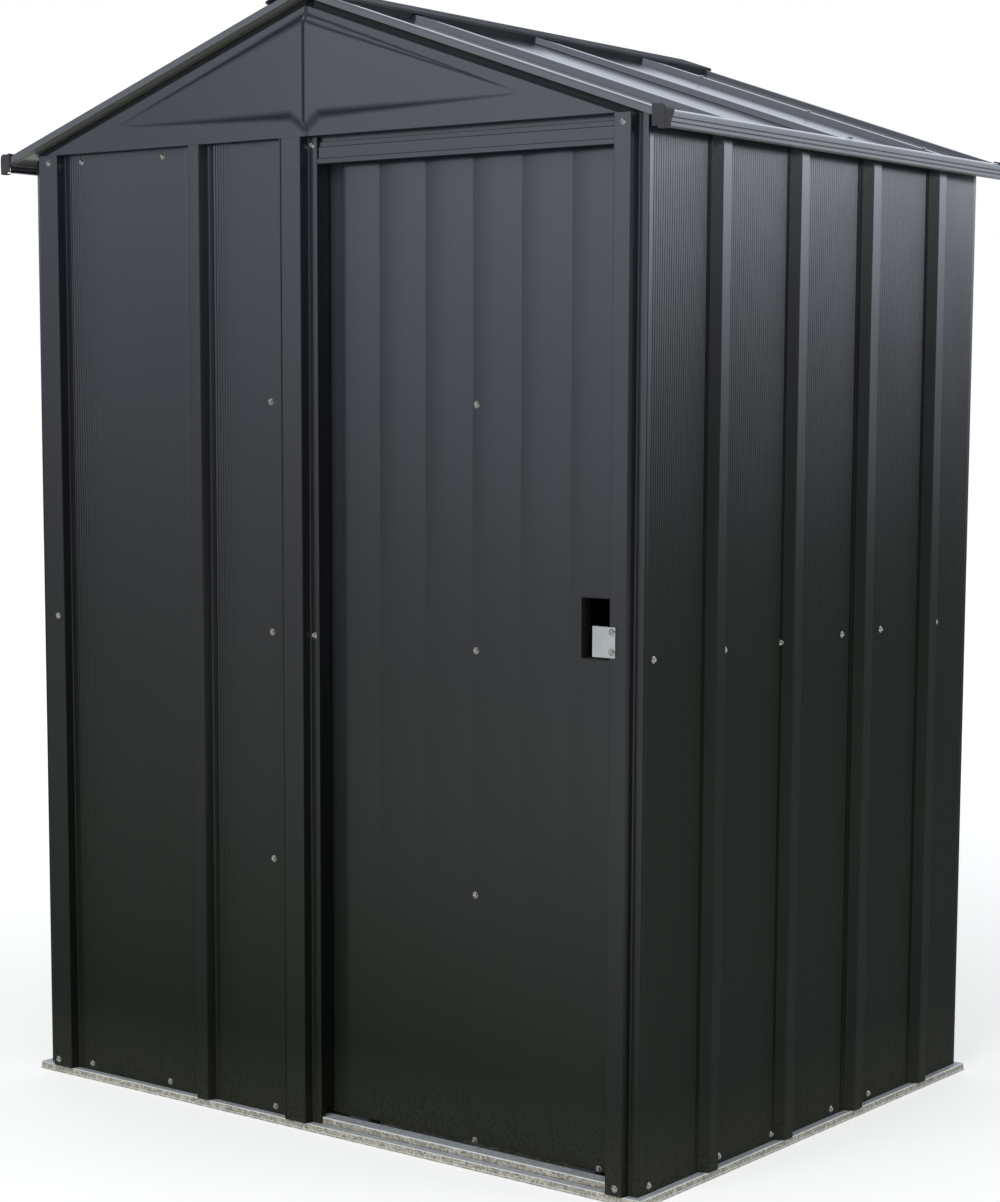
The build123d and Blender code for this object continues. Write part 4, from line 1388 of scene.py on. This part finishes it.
class SHED_OT_stage(bpy.types.Operator):
    """Pale floor, soft studio light and the camera"""

    bl_idname = "shed.stage"
    bl_label = "Stage"

    def execute(self, context):
        scene = context.scene
        stage = scene.shed_stage
        scene.view_settings.view_transform = "Standard"

        world = bpy.data.worlds.new("studio")
        world.use_nodes = True
        scene.world = world
        tree = world.node_tree
        tree.nodes.clear()
        start = Shade(tree)
        path = start.node("ShaderNodeLightPath", out="Is Camera Ray")
        rays = path.socket.node.outputs
        seen = path + Shade(tree, rays["Is Transmission Ray"])
        mirrored = Shade(tree, rays["Is Glossy Ray"])
        way = start.node("ShaderNodeTexCoord", out="Generated")

        def panel(aim, near, full, bright):
            dot = {"operation": "DOT_PRODUCT"}
            lean = start.node("ShaderNodeVectorMath", dot, {0: way, 1: aim}, "Value")
            shape = {"interpolation_type": "SMOOTHSTEP"}
            return start.node("ShaderNodeMapRange", shape, {0: lean, 1: near, 2: full, 4: bright})

        rear = panel((0.0, 1.0, 0.0), 0.42, 0.66, 1.0)
        front = panel((-0.42, -0.91, 0.0), 0.80, 1.0, 0.62)
        left = panel((-1.0, 0.0, 0.0), 0.60, 1.0, 0.40)
        panels = panel((0.0, 0.0, 1.0), 0.70, 0.90, 1.0)
        for wall in (rear, front, left):
            panels = start.sum("MAXIMUM", panels, wall)

        def background(tone, strength):
            return start.node("ShaderNodeBackground", values={"Color": tone, "Strength": strength})

        white = background((1, 1, 1, 1), 1.0)
        cool = background((0.83, 0.885, 1.0, 1.0), 1.0)
        even = background((0.93, 0.97, 1.0, 1.0), stage.ambient)
        dim = background((0.90, 0.95, 1.0, 1.0), 0.13)
        studio = start.node("ShaderNodeMixShader", values={0: panels, 1: dim, 2: cool})
        lit = start.node("ShaderNodeMixShader", values={0: mirrored, 1: even, 2: studio})
        shown = start.node("ShaderNodeMixShader", values={0: seen.clamp(), 1: lit, 2: white})
        out = tree.nodes.new("ShaderNodeOutputWorld")
        tree.links.new(shown.socket, out.inputs["Surface"])

        mesh = bpy.data.meshes.new("floor")
        reach, level = 14.0, -0.0004
        corners = [(-reach, -reach), (reach, -reach), (reach, reach), (-reach, reach)]
        mesh.from_pydata([(*corner, level) for corner in corners], [], [(0, 1, 2, 3)])
        floor = bpy.data.objects.new("floor", mesh)
        scene.collection.objects.link(floor)

        def pale(begin, spot):
            cloud = begin.noise(spot, 3.0, 4.0)
            ray = begin.node("ShaderNodeLightPath", out="Is Camera Ray")
            away = begin.node("ShaderNodeVectorMath", {"operation": "LENGTH"}, {0: spot}, "Value")
            open_floor = ((away - 1.2) * 0.3).clamp() * ray
            glow = begin.mix(ray, (0, 0, 0, 1), (0.45, 0.45, 0.45, 1))
            glow = begin.mix(open_floor, glow, (0.66, 0.66, 0.66, 1))
            return {
                "Base Color": begin.mix(cloud, (0.80, 0.80, 0.79, 1), (0.82, 0.82, 0.82, 1)),
                "Roughness": 0.8,
                "Specular IOR Level": 0.0,
                "Emission Color": glow,
                "Emission Strength": 1.0,
            }

        mesh.materials.append(finish("pale_floor", pale))

        middle, spread = Vector((0, 0, 0.9)), 3.5
        for name, place, watts in (
            ("key", (0.6, -5.4, 4.2), stage.key),
            ("fill", (5.0, 0.6, 3.2), stage.fill),
        ):
            lamp = bpy.data.lights.new(name, "AREA")
            lamp.energy = watts
            lamp.size = spread
            holder = bpy.data.objects.new(name, lamp)
            aim = middle - Vector(place)
            holder.location = place
            holder.rotation_euler = aim.to_track_quat("-Z", "Y").to_euler()
            holder.visible_glossy = False
            scene.collection.objects.link(holder)

        turn, pitch, roll = stage.turn, stage.pitch, stage.roll
        back = Vector((sin(turn) * cos(pitch), -cos(turn) * cos(pitch), sin(pitch)))
        right = (-back).cross(Vector((0, 0, 1))).normalized()
        up = right.cross(-back)
        tilted = cos(roll) * right + sin(roll) * up
        upright = cos(roll) * up - sin(roll) * right
        lens = bpy.data.cameras.new("photo_view")
        lens.lens = stage.lens
        lens.sensor_width = 36.0
        lens.sensor_fit = "AUTO"
        lens.shift_x, lens.shift_y = stage.shift
        camera = bpy.data.objects.new("photo_view", lens)
        turned = Matrix((tilted, upright, back)).transposed().to_4x4()
        camera.matrix_world = Matrix.Translation(stage.eye) @ turned
        scene.collection.objects.link(camera)
        scene.camera = camera
        return {"FINISHED"}


class SHED_PT_panel(bpy.types.Panel):
    """Lists the pieces of the tool shed"""

    bl_label = "Tool shed"
    bl_idname = "SHED_PT_panel"
    bl_space_type = "VIEW_3D"
    bl_region_type = "UI"
    bl_category = "Tool shed"

    def draw(self, context):
        column = self.layout.column()
        for operator in OPERATORS:
            column.operator(operator.bl_idname)
        for group in (context.scene.shed_sizes, context.scene.shed_finish, context.scene.shed_stage):
            box = column.box()
            for key in group.__annotations__:
                box.prop(group, key)


GROUPS = (ShedSizes, ShedFinish, ShedStage)
OPERATORS = (
    SHED_OT_stage,
    SHED_OT_frame_finish,
    SHED_OT_base,
    SHED_OT_walls,
    SHED_OT_columns,
    SHED_OT_door,
    SHED_OT_gables,
    SHED_OT_roof,
    SHED_OT_fittings,
    SHED_OT_screws,
)
CLASSES = GROUPS + OPERATORS + (SHED_PT_panel,)


def register():
    """Add the classes and their settings."""
    for made in CLASSES:
        bpy.utils.register_class(made)
    bpy.types.Scene.shed_sizes = PointerProperty(type=ShedSizes)
    bpy.types.Scene.shed_finish = PointerProperty(type=ShedFinish)
    bpy.types.Scene.shed_stage = PointerProperty(type=ShedStage)


def unregister():
    """Take the classes and their settings away."""
    del bpy.types.Scene.shed_stage
    del bpy.types.Scene.shed_finish
    del bpy.types.Scene.shed_sizes
    for made in reversed(CLASSES):
        bpy.utils.unregister_class(made)


def main():
    """Dress the frame."""
    register()
    for operator in OPERATORS:
        group, name = operator.bl_idname.split(".")
        getattr(getattr(bpy.ops, group), name)()


if __name__ == "__main__":
    main()
